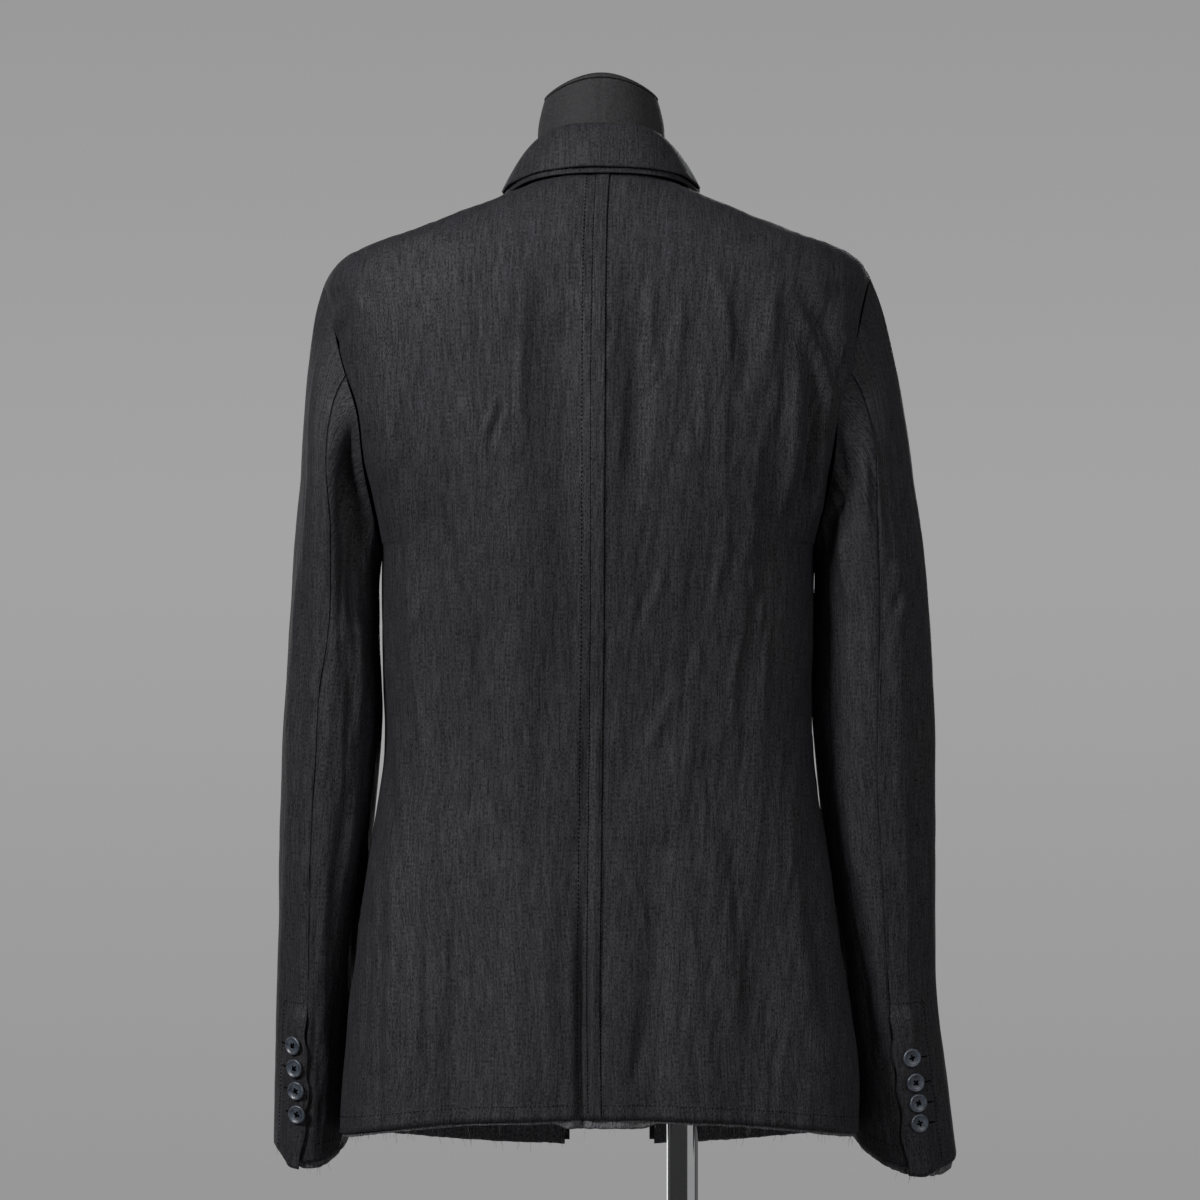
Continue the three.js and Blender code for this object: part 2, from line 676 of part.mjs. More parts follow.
function underSleeve(side, name) {
  const place = (j, i) => {
    const row = sleeveRows[j];
    const from = seamAngle(side, row);
    const angle = from + ((frontSeam - from) * i) / sleeveColumns;
    const towards = i === 0 ? 1 : i === sleeveColumns ? -1 : 0;
    return sleeveEdge(side, row, angle, towards);
  };
  return wall(name, colours.cloth, sleeveRows.length - 1, sleeveColumns, place, shellWall);
}

// The underlap inside the vent
function ventUnderlap(side, name) {
  const place = (j, i) => {
    const row = ventRow + ((cuffRow - ventRow) * j) / underlap.rows;
    const angle = seamAngle(side, row) + underlap.start + underlap.turn * i;
    const normal = sleeveNormal(side, row, angle);
    const inside = -(shellWall + layGap);
    return { p: moved(sleevePoint(side, row, angle), normal, inside), normal };
  };
  return wall(name, colours.cloth, underlap.rows, underlap.columns, place, stripWall);
}

function cuffEdge(side, name) {
  const { top, drop, rows, columns } = cuffStrip;
  const inside = shellWall + stripWall + 2.6 * layGap;
  const place = (j, i) => {
    const row = top + ((drop - top) * j) / rows;
    const angle = (360 * i) / columns;
    const normal = sleeveNormal(side, row, angle);
    return { p: moved(sleevePoint(side, row, angle), normal, -inside), normal };
  };
  return wall(name, colours.raw, rows, columns, place, stripWall, true);
}

// ---- Collar ----

// A place on the collar: along -8 to 8 from the right end to the left, down 0 at the fold
// and 1 at the edge
function collarPoint(along, down) {
  const side = along < 0 ? -1 : 1;
  const at = (key) => column(collarTable, key, Math.abs(along));
  const seam = -2 * (1 - smooth(0, 3, Math.abs(along)));
  const fold = vector(side * at("x") + seam, at("y"), at("z"));
  const row = at("row");
  const angle = Math.max(at("angle"), 0);
  const edge = moved(bodyPoint(side, row, angle), bodyNormal(side, row, angle), collarLift);
  const out = Math.max(down, 0) ** 0.8;
  const fall = Math.max(down, 0) ** 1.25;
  return vector(
    fold.x + (edge.x - fold.x) * out,
    fold.y + (edge.y - fold.y) * out,
    fold.z + (edge.z - fold.z) * fall,
  );
}

function collarNormal(along, down) {
  const middle = Math.min(Math.max(down, 0.12), 1);
  const alongU = collarPoint(along + 0.1, middle).sub(collarPoint(along - 0.1, middle));
  const alongV = collarPoint(along, middle + 0.05).sub(collarPoint(along, middle - 0.05));
  return alongU.cross(alongV).normalize();
}

function collarFall() {
  const downs = [0, 0.12, 0.35, 0.68, 1];
  const columns = 2 * collarColumns;
  const place = (j, i) => {
    const along = (8 * (i - collarColumns)) / collarColumns;
    return { p: collarPoint(along, downs[j]), normal: collarNormal(along, downs[j]) };
  };
  return wall("collar_fall", colours.cloth, downs.length - 1, columns, place, collarWall);
}

function underCollar() {
  const half = collarColumns - 4;
  const downs = [0.68, 1, 1 + underCollarReach];
  const inside = -(collarWall + 2 * layGap);
  const place = (j, i) => {
    const along = (8 * (i - half)) / collarColumns;
    const normal = collarNormal(along, downs[j]);
    return { p: moved(collarPoint(along, downs[j]), normal, inside), normal };
  };
  return wall("collar_under", colours.cloth, downs.length - 1, 2 * half, place, stripWall);
}

// The stand rises from the neckline to just inside the fold
function collarStand() {
  const { reach, columns, lean } = collarRise;
  const place = (j, i) => {
    const along = reach * ((2 * i) / columns - 1);
    const side = along < 0 ? -1 : 1;
    const turn = (Math.abs(along) / reach) * openAngle(side, neckRow);
    const low = bodyPoint(side, neckRow, turn);
    const normal = collarNormal(along, 0.12);
    const high = moved(collarPoint(along, 0), normal, -(collarWall + layGap));
    low.z += layGap;
    const flat = vector(low.x, low.y * lean, 0).normalize();
    return { p: low.lerp(high, j / 2), normal: j === 2 ? normal : flat };
  };
  return wall("collar_stand", colours.cloth, 2, columns, place, shellWall);
}

// ---- Buttons ----

// A button lies on a surface with its face along the normal
function button(name, size, p, normal) {
  const { radius, depth, lift } = size;
  const rim = radius * 0.86;
  const profile = [
    [0, 0],
    [radius * 0.8, 0],
    [radius, depth * 0.6],
    [rim, depth],
    [rim * 0.8, depth],
    [rim * 0.66, depth * 0.7],
    [0, depth * 0.7],
  ];
  const mesh = lathe(name, colours.button, profile, { segments: 12, roughness: 0.35 });
  mesh.position.copy(moved(p, normal, lift));
  mesh.quaternion.setFromUnitVectors(vector(0, 0, 1), normal);
  return mesh;
}

function sleeveButtons(side, label) {
  return (side > 0 ? leftButtons : rightButtons).map(({ row, inset }, i) => {
    const angle = seamAngle(side, row) - cuffTurn(inset);
    const normal = sleeveNormal(side, row, angle);
    const p = moved(sleevePoint(side, row, angle), normal, ventLift);
    return button(`sleeve_button_${label}_${i + 1}`, sleeveButton, p, normal);
  });
}

function frontButtons() {
  const side = -1;
  return frontButtonHeights.map((height, i) => {
    const row = bodyTable.findIndex((ring) => ring.front > height) - 1;
    const below = bodyTable[row].front;
    const at = row + (height - below) / (bodyTable[row + 1].front - below);
    const angle = openAngle(side, at, frontButton.inset);
    const p = bodyPoint(side, at, angle);
    return button(`front_button_${i + 1}`, frontButton, p, bodyNormal(side, at, angle));
  });
}

// ---- Dress form and stand ----

function formRing(ring) {
  const step = 360 / formColumns;
  return Array.from({ length: formColumns }, (_, i) => {
    const turn = i * step;
    const side = turn <= 180 ? 1 : -1;
    const height = ring.side + (side > 0 ? (ring.rise ?? 0) : 0);
    return ringPoint({ ...ring, side: height }, side, turn <= 180 ? turn : 360 - turn);
  });
}

// The torso with the neck, less the socket for the pole
async function torso() {
  const body = ringSolid("form_torso", colours.form, formTable.map(formRing));
  const wasm = await Module();
  wasm.setup();
  const solid = (geometry) => {
    const plain = new THREE.BufferGeometry();
    plain.setAttribute("position", geometry.getAttribute("position"));
    plain.setIndex(geometry.index);
    const merged = mergeVertices(plain, 1e-3);
    const vertProperties = new Float32Array(merged.attributes.position.array);
    const triVerts = new Uint32Array(merged.index.array);
    return new wasm.Manifold(new wasm.Mesh({ numProp: 3, vertProperties, triVerts }));
  };
  const radius = pole.radius + pole.socketGap;
  const socket = new THREE.CylinderGeometry(radius, radius, 2 * pole.socketDepth, pole.sides);
  socket.rotateX(Math.PI / 2);
  socket.translate(pole.x, pole.y, formTable[0].side);
  const cut = solid(body.geometry).subtract(solid(socket)).getMesh();
  body.geometry = new THREE.BufferGeometry();
  body.geometry.setAttribute("position", new THREE.BufferAttribute(cut.vertProperties, 3));
  body.geometry.setIndex(new THREE.BufferAttribute(cut.triVerts, 1));
  body.geometry.computeVertexNormals();
  return body;
}

// The slanted plate on top of the neck, its edge rounded
function neckCapSolid() {
  const top = formTable.at(-1);
  const ringAt = (rise, inset) =>
    formRing({
      ...top,
      side: top.side + rise,
      back: top.back + rise,
      front: top.front + rise,
      half: top.half + neckCap.proud - inset,
      backY: top.backY + neckCap.proud - inset,
      frontY: top.frontY - neckCap.proud + inset,
    });
  const rounded = neckCapRings.map((t) =>
    ringAt(
      neckCap.gap + neckCap.rim + neckCap.round * t,
      neckCap.round * (1 - Math.sqrt(1 - t * t)) * neckCap.turn,
    ),
  );
  return ringSolid("neck_cap", colours.form, [ringAt(neckCap.gap, 0), ...rounded]);
}

function stand() {
  const steel = { roughness: 0.18, metalness: 1 };
  const top = formTable[0].side + pole.socketDepth - pole.socketGap;
  const foot = base.height + pole.socketGap;
  const rod = lathe(
    "stand_pole",
    colours.steel,
    [[0, foot], [pole.radius, foot], [pole.radius, top], [0, top]],
    { ...steel, segments: pole.sides },
  );
  const bore = pole.radius + pole.socketGap;
  const plate = lathe(
    "stand_base",
    colours.steel,
    [
      [0, 0],
      [base.radius - base.bevel, 0],
      [base.radius, base.bevel],
      [base.radius, base.height - base.bevel],
      [base.radius - base.bevel, base.height],
      [base.hubRadius, base.height],
      [base.hubTop, base.height + base.hubHeight],
      [bore, base.height + base.hubHeight],
      [bore, base.height],
      [0, base.height],
    ],
    { ...steel, segments: 40 },
  );
  for (const piece of [rod, plate]) piece.position.set(pole.x, pole.y, 0);
  return [rod, plate];
}

// ---- The whole ----

const jacketOnForm = new THREE.Group();
for (const [side, label] of [[1, "left"], [-1, "right"]]) {
  jacketOnForm.add(
    backPanel(side, `back_${label}`),
    frontPanel(side, `front_${label}`),
    lapelPanel(side, `lapel_${label}`),
    topSleeve(side, `sleeve_${label}_top`),
    underSleeve(side, `sleeve_${label}_under`),
    ventUnderlap(side, `vent_${label}`),
    cuffEdge(side, `cuff_edge_${label}`),
    ...sleeveButtons(side, label),
  );
  const front = hemAngles(90, openAngle(side, hemRow));
  jacketOnForm.add(hemEdge(`hem_edge_front_${label}`, front.map((angle) => side * angle)));
}
const halfBack = hemAngles(0, 90).slice(1);
jacketOnForm.add(
  backStrip(),
  hemEdge("hem_edge_back", [...halfBack.map((angle) => -angle).reverse(), 0, ...halfBack]),
  collarFall(),
  underCollar(),
  collarStand(),
  ...frontButtons(),
  await torso(),
  neckCapSolid(),
  ...stand(),
);

export default jacketOnForm;
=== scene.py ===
# A tailored jacket hanging open on a limbless dress form, seen from the back.
# Sizes are in millimetres up to the moment a mesh is made, and in metres from there on.

import math
import random

import bpy
import numpy as np
from mathutils import Matrix, Vector


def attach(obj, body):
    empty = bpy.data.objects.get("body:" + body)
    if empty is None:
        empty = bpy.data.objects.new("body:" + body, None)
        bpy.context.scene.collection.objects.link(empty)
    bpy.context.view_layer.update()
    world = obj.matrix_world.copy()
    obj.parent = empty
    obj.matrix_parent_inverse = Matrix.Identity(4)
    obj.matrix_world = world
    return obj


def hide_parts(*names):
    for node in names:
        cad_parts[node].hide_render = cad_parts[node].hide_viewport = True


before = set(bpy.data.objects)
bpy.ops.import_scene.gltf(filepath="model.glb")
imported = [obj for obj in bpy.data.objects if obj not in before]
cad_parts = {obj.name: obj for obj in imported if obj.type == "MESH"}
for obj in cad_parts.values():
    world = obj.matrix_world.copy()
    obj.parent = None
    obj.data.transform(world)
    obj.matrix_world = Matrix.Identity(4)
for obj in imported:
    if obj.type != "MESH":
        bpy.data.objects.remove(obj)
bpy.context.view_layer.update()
mm = 0.001
print("frame loaded:", len(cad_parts), "nodes")

# Camera, level with the middle of the jacket
cameraSet = {"place": (0.001, 4.5, 1.0752), "lens": 168.75, "sensor": 36}
cameraData = bpy.data.cameras.new("backCamera")
cameraData.lens = cameraSet["lens"]
cameraData.sensor_width = cameraSet["sensor"]
cameraObject = bpy.data.objects.new("backCamera", cameraData)
cameraObject.location = cameraSet["place"]
cameraObject.rotation_euler = (math.radians(90), 0, math.radians(180))
bpy.context.scene.collection.objects.link(cameraObject)
bpy.context.scene.camera = cameraObject


# Tables: one row for each ring or section, columns by name

def table(names, rows):
    return {key: np.array([row[i] for row in rows], float) for i, key in enumerate(names.split())}


# One column at any row, as a smooth curve through the table's rows
def column(rows, key, at):
    values = rows[key]
    last = len(values) - 1
    at = np.asarray(at, float)
    i = np.clip(np.floor(at).astype(int), 0, last - 1)
    t = at - i
    b, c = values[i], values[i + 1]
    a = np.where(i > 0, values[np.maximum(i - 1, 0)], 2 * b - c)
    d = np.where(i + 2 <= last, values[np.minimum(i + 2, last)], 2 * c - b)
    cubic = (3 * (b - c) + d - a) * t
    curve = b + 0.5 * t * (c - a + t * (2 * a - 5 * b + 4 * c - d + cubic))
    return np.where((t < 0) | (t > 1), b + (c - b) * t, curve)


def smooth(low, high, value):
    t = np.clip((np.asarray(value, float) - low) / (high - low), 0, 1)
    return t * t * (3 - 2 * t)


def stack(x, y, z):
    return np.stack(np.broadcast_arrays(x, y, z), axis=-1).astype(float)


def unit(v):
    return v / np.maximum(np.linalg.norm(v, axis=-1, keepdims=True), 1e-9)


underarmRow, tipRow, neckRow, breakRow = 10, 18, 25, 8.3
cuffRow, ventRow = 9, 7.05

# Rings of the body from the hem up: heights, half widths, depths, front edges, squareness
bodyTable = table(
    "sideL sideR back front left right midY backY frontY seamX openL openR box",
    [
        [653, 653, 671, 631, 208, 204, 30, 126, -132, 5, 26, 40, 0.03],
        [700, 700, 712, 682, 205.5, 204.5, 27, 123, -130, 5.5, 26, 40, 0.03],
        [748, 748, 756, 738, 202, 198, 23, 119, -128, 6, 26, 40, 0.03],
        [792, 792, 797, 786, 196, 191.5, 19, 115, -126, 6, 26, 39, 0.03],
        [838, 838, 841, 834, 190, 185, 15, 111, -124, 5.5, 26, 39, 0.03],
        [884, 884, 886, 881, 183.5, 179, 12, 108, -122, 5, 26, 38, 0.03],
        [930, 930, 931, 929, 176, 172, 9, 106, -121, 4.5, 26, 38, 0.03],
        [975, 975, 975, 975, 174, 168.5, 8, 106, -122, 4, 26, 38, 0.03],
        [1020, 1020, 1020, 1020, 175.5, 168.5, 7, 109, -125, 3.5, 27, 39, 0.03],
        [1066, 1066, 1066, 1066, 177, 169.5, 5, 114, -130, 3, 31, 41, 0.035],
        [1113, 1113, 1113, 1113, 177, 170.5, 1, 119, -134, 3, 36, 44, 0.04],
        [1121, 1122, 1140, 1140, 179.5, 174, 0, 121, -135.5, 2.8, 39, 46, 0.04],
        [1144, 1146, 1168, 1167, 187, 182, -1, 122, -136, 2.6, 42, 48, 0.045],
        [1179, 1182, 1197, 1194, 199, 193, -2, 122.5, -135, 2.4, 44.5, 50, 0.05],
        [1220, 1224, 1226, 1221, 208, 202, -1, 122, -132, 2.3, 47, 52, 0.05],
        [1261, 1266, 1256, 1248, 214, 208, 0, 121, -128, 2.2, 50, 54, 0.045],
        [1296, 1302, 1286, 1275, 218, 211.5, 0, 119, -122, 2, 52.5, 55.5, 0.04],
        [1318, 1325, 1314, 1300, 220.5, 214, 0, 115.5, -114, 1.8, 55, 57, 0.035],
        [1326, 1333, 1338, 1320, 222, 215, 0, 111, -106, 1.6, 57, 58.5, 0.03],
        [1338, 1346, 1353, 1333, 215, 206, 0, 106.5, -100, 1.2, 58.5, 59.5, 0.03],
        [1349.5, 1355.5, 1369, 1344, 204, 192, 0, 101, -94, 0.8, 59.5, 60, 0.03],
        [1358.5, 1362, 1383.5, 1353, 182, 171, -1, 95, -88, 0.2, 60.5, 60.5, 0.02],
        [1366.4, 1371, 1397, 1362, 150, 142, -2, 87, -81, -0.5, 61, 61, 0.02],
        [1379, 1383.5, 1408.5, 1370, 112, 108, -4, 78, -73, -1.2, 62, 62, 0.01],
        [1392, 1394.5, 1419, 1380, 80, 80, -6, 68, -66, -1.8, 63, 63, 0],
        [1408, 1409, 1430, 1390, 66, 66, -8, 60, -62, -2, 63, 63, 0],
    ],
)
armholeTable = table(
    "back front",
    [[1, 1], [0.985, 0.975], [0.97, 0.935], [0.945, 0.885], [0.925, 0.86],
     [0.955, 0.885], [0.98, 0.94], [0.995, 0.985], [1, 1]],
)

# The hang of the back: long soft folds from (x, top) to (lowX, low)
foldTable = table(
    "x top lowX low width depth",
    [
        [30, 1345, 30, 1080, 18, -6],
        [-36, 1345, -34, 1150, 18, -2.5],
        [-4, 1335, -3, 1060, 14, 3.5],
        [62, 1270, 57, 900, 26, 6],
        [56, 1010, 55, 430, 26, 7],
        [148, 1290, 118, 930, 24, -4.5],
        [116, 1000, 113, 430, 27, -8],
        [180, 900, 176, 440, 22, 4],
        [-14, 930, -12, 430, 13, 2],
        [-42, 1040, -48, 430, 16, -3.5],
        [-66, 1000, -84, 430, 17, 3.5],
        [-136, 980, -128, 430, 34, -6],
        [-176, 1290, -168, 1120, 16, 6],
        [-140, 1270, -132, 1020, 22, -5],
    ],
)

sleeveTables = {
    1: table(
        "z inner outer midY halfY raise drop seam",
        [
            [1122, 179, 241, -4, 66, 42, 0, 84],
            [1060, 177.5, 249, -9, 66, 22, 0, 87],
            [1000, 175.5, 252.5, -11, 65, 8, 0, 76],
            [940, 178.5, 255, -13, 63, 0, 0, 74],
            [880, 184.6, 256.5, -17, 61, 0, 0, 73],
            [820, 191.8, 258, -22, 59, 0, 0, 77],
            [760, 196.4, 260, -28, 58, 0, 4, 80],
            [702, 200.8, 262, -34, 56.5, 0, 10, 78],
            [645, 202.5, 264, -39, 55, 0, 18, 74],
        ],
    ),
    -1: table(
        "z inner outer midY halfY raise drop seam",
        [
            [1128, 170.8, 250, -4, 64, 42, 0, 79],
            [1066, 169.4, 262, -9, 64, 22, 0, 83],
            [1004, 168.8, 266, -11, 62, 8, 0, 87],
            [942, 173, 266.5, -13, 60, 0, 0, 91],
            [880, 179.2, 266.5, -17, 58, 0, 0, 91],
            [820, 186.6, 267.5, -22, 57, 0, 0, 92],
            [760, 193, 269, -28, 56, 0, 4, 92],
            [702, 198.6, 277, -33, 55, -4, 10, 92],
            [641, 200, 286, -37, 54, -9, 18, 86],
        ],
    ),
}
armholeSeam, frontSeam, capBulge, sideBulge = 72, 247.5, 30, 38
ventTable = table("row left right", [
    [7.05, 0, 0], [7.45, 1, 1.2], [7.8, 5, 1.6], [8.25, 8, 0.8], [8.6, 6, 2], [9, 1.5, 1]])
ventLift = 2.7

collarTable = table(
    "x y z row angle",
    [
        [0, 57, 1452.5, 23.2, 0],
        [22, 53.5, 1452, 23.3, 21],
        [39, 40, 1448.5, 23.6, 40],
        [51, 18, 1440.5, 24.05, 64],
        [56.5, -9, 1431, 24.35, 91],
        [59.5, -33, 1415.5, 23.9, 116.5],
        [63, -53, 1396.5, 22.5, 136.5],
        [64.5, -73, 1377, 21.3, 146],
        [64, -87, 1361, 20.4, 150.5],
    ],
)
collarLift = 7.8

formTable = table(
    "side back front half midY backY frontY rise",
    [
        [720, 720, 720, 158, 4, 92, -88, 0],
        [728, 728, 728, 164, 4, 97, -93, 0],
        [770, 770, 770, 168, 4, 101, -98, 0],
        [838, 838, 838, 164, 2, 98, -100, 0],
        [900, 900, 900, 153, 0, 91, -96, 0],
        [960, 960, 960, 145, -2, 88, -95, 0],
        [1020, 1020, 1020, 147, -3, 93, -101, 0],
        [1066, 1066, 1066, 152, -3, 100, -109, 0],
        [1110, 1113, 1113, 158, -3, 106, -117, 0],
        [1143, 1168, 1167, 164, -3, 110, -120, 0],
        [1178, 1197, 1194, 170, -2, 111, -119, 0],
        [1216, 1224, 1219, 175, -1, 111, -117, 0],
        [1254, 1252, 1246, 180, 0, 110, -114, 0],
        [1286, 1281, 1272, 184, 0, 109, -110, 0],
        [1312, 1308, 1296, 186, 0, 106.5, -105, 0],
        [1331, 1332, 1315, 186, 0, 103.5, -99, 0],
        [1346, 1350.5, 1329, 183, 0, 100.5, -95, 0],
        [1355.6, 1366, 1340, 176, 0, 96.5, -90, -2.4],
        [1361.8, 1380, 1349.5, 164, -1, 91, -84.5, -3.2],
        [1368.8, 1393.6, 1358.5, 139, -2, 83, -77.5, -3.6],
        [1382.2, 1405.2, 1366.5, 105, -4, 74, -69.5, -3.2],
        [1390.8, 1413.6, 1375.5, 78, -6, 64, -62.5, -2],
        [1404.5, 1423.5, 1389, 60, -7, 54.5, -58, -0.6],
        [1428, 1435, 1416, 52, -8, 49.5, -56, 0],
        [1452, 1456, 1448, 50.6, -8, 46.8, -54, 0],
        [1465, 1472, 1459, 48.2, -8, 44.6, -52, 0],
        [1474.6, 1489, 1466, 45.6, -8, 42.6, -49.5, 0],
    ],
)

# Creases, given one by one: x and z at the top and at the foot, width, depth, bow

creaseNames = "x z lowX lowZ width depth bow"
backCreases = table(
    creaseNames,
    [
        # right half, upper
        [-23, 1352, -26, 1151, 8, -2.6, 0],
        [-40, 1332, -41, 1238, 4, 1.5, 1],
        [-64, 1310, -58, 1243, 4.5, 1.5, 0],
        [-87, 1348, -102, 1253, 4, 1.6, -2],
        [-102, 1260, -94, 1142, 3.6, 1.3, 2],
        [-137, 1333, -130, 1236, 7, 2.2, 2],
        [-130, 1240, -119, 1139, 5, 1.6, 0],
        [-113, 1335, -114, 1236, 10, -1.8, 0],
        [-154, 1323, -184, 1240, 5.5, -4, -6],
        [-161, 1292, -181, 1222, 4, 2.2, -5],
        [-158, 1286, -172, 1150, 8, -5, -8],
        [-180, 1330, -192, 1237, 9, 3, -4],
        [-73, 1219, -59, 1149, 5, 1.5, 0],
        [-50, 1340, -55, 1312, 2.4, -0.9, 0],
        [-49, 1256, -31, 1228, 2.6, -0.8, 0],
        [-78, 1282, -80, 1212, 3, 0.8, 0],
        # right half, lower
        [-43, 1154, -34, 1080, 2.6, 1, 1],
        [-14, 1152, -10, 1084, 2.4, 0.9, 0],
        [-50, 1100, -31, 1046, 3, 1.2, 0],
        [-31, 1060, -28, 997, 3, 1, 1],
        [-61, 1160, -61, 1070, 4.6, 1.3, 0],
        [-99, 1143, -85, 1054, 3.2, 1.3, 0],
        [-124, 1155, -115, 1105, 4.6, 1.5, 0],
        [-117, 1110, -120, 1079, 2, 0.7, 0],
        [-113, 1062, -101, 997, 2.6, 1.2, 1],
        [-104, 1018, -103, 966, 3.4, 0.9, 0],
        [-73, 1063, -78, 1011, 3.8, 0.8, 0],
        [-10, 1053, -11, 1021, 2.8, 1, 0],
        [-62, 1008, -34, 947, 5.6, 1.6, 2],
        [-73, 984, -64, 928, 2.5, 0.9, 0],
        [-12, 1000, -18, 936, 3, 0.9, 0],
        [-55, 975, -59, 928, 3, 0.9, 0],
        [-45, 958, -43, 882, 14, 2.6, 0],
        [-88, 966, -95, 884, 11, -1.6, 0],
        [-80, 940, -81, 880, 3, 0.9, 0],
        [-66, 1044, -64, 971, 2.5, -0.9, 0],
        [-165, 1252, -150, 1128, 6, -6, -6],
        [-176, 1232, -163, 1120, 4, 3, -4],
        # right half, skirt
        [-88, 905, -112, 700, 9, 2.4, 3],
        [-52, 800, -60, 668, 7, 2.2, 0],
        [-21, 862, -35, 812, 3, 1.3, -2],
        [-38, 868, -44, 790, 4, -1, 0],
        [-66, 850, -76, 760, 3.2, 1.2, -2],
        [-98, 880, -100, 812, 3, 1, 0],
        [-70, 742, -84, 672, 5, -1.8, 2],
        [-40, 760, -22, 690, 6, -1.6, 0],
        [-128, 800, -136, 700, 7, -1.4, 0],
        [-163, 900, -186, 720, 7, -2, 4],
        # left half, upper
        [62, 1330, 63, 1180, 5, 1.5, 0],
        [43, 1345, 45, 1140, 13, -2.4, 0],
        [76, 1232, 87, 1194, 3, -1.6, 0],
        [80, 1234, 91, 1202, 3, 1.1, 0],
        [119, 1208, 114, 1138, 3.6, -1.1, 0],
        [159, 1240, 152, 1149, 5, -1.4, 0],
        [199, 1306, 210, 1274, 4, -2.2, 0],
        [196, 1328, 189, 1298, 5, 1.6, 0],
        [203, 1350, 211, 1304, 4, -1.6, 0],
        [34, 1344, 27, 1312, 2.8, -0.8, 0],
        [19, 1372, 22, 1326, 2.8, -0.8, 0],
        [22, 1256, 17, 1196, 4, 0.9, 0],
        [140, 1262, 136, 1216, 4, -0.7, 0],
        [172, 1222, 168, 1130, 6, 1.4, 0],
        # left half, lower
        [119, 1155, 117.5, 1101, 3, -1.6, 0],
        [117, 1105, 112, 1077, 3, -1.4, 0],
        [107, 1080, 112, 884, 16, -2.4, 0],
        [96, 1063, 102, 980, 2.4, -1.3, 0],
        [102, 984, 98, 945, 2.4, -1.2, 0],
        [98, 949, 106, 893, 2.4, -1.2, 0],
        [140, 1081, 151, 1042, 4.5, 1.1, 0],
        [147, 1104, 153, 1081, 4, -1, 0],
        [171, 1018, 164, 890, 5, -1.8, 3],
        [43, 1053, 46, 884, 12, -2, 0],
        [58, 974, 50, 930, 3.2, 1, 0],
        [68, 1080, 74, 1044, 3, -0.8, 0],
        [26, 1082, 17, 1058, 2.4, -0.9, 0],
        [133, 1010, 128, 950, 4, 0.8, 0],
        [14.5, 850, 15.5, 630, 4, -5, 0],
        [18, 1010, 20, 884, 5, 1.4, 0],
        # left half, skirt
        [137, 880, 136, 660, 4, -1.5, 0],
        [162, 870, 166, 665, 5, 1.3, 0],
        [88, 900, 84, 664, 5, -1.6, 0],
        [104, 800, 100, 670, 3, -0.9, 0],
        [30, 780, 19, 690, 8, -1.8, 0],
        [38, 858, 34, 776, 3, 1, 0],
        [70, 716, 84, 672, 4, -1.1, 0],
        [120, 850, 122, 756, 3, 0.8, 0],
    ],
)
frontCreases = table(
    creaseNames,
    [
        [120, 1240, 96, 1120, 7, -2.6, 3],
        [150, 1210, 140, 1090, 6, -2.2, 0],
        [88, 1100, 92, 940, 10, -2, 0],
        [140, 1020, 146, 860, 9, 2, 0],
        [60, 960, 64, 760, 8, -1.8, 0],
        [110, 900, 122, 680, 12, -2.6, 0],
        [160, 880, 168, 690, 7, 1.8, 0],
        [170, 1180, 158, 1060, 5, 1.6, 0],
        [-118, 1230, -98, 1110, 7, -2.4, -3],
        [-152, 1200, -142, 1070, 6, -2.4, 0],
        [-92, 1090, -86, 930, 9, -1.8, 0],
        [-134, 1000, -142, 850, 8, 1.8, 0],
        [-72, 940, -76, 720, 9, -2, 0],
        [-116, 890, -126, 680, 11, -2.4, 0],
        [-160, 900, -166, 700, 6, 1.6, 0],
        [-172, 1170, -160, 1050, 5, 1.4, 0],
        [104, 1310, 110, 1250, 5, -1, 0],
        [-106, 1306, -112, 1244, 5, -1, 0],
    ],
)

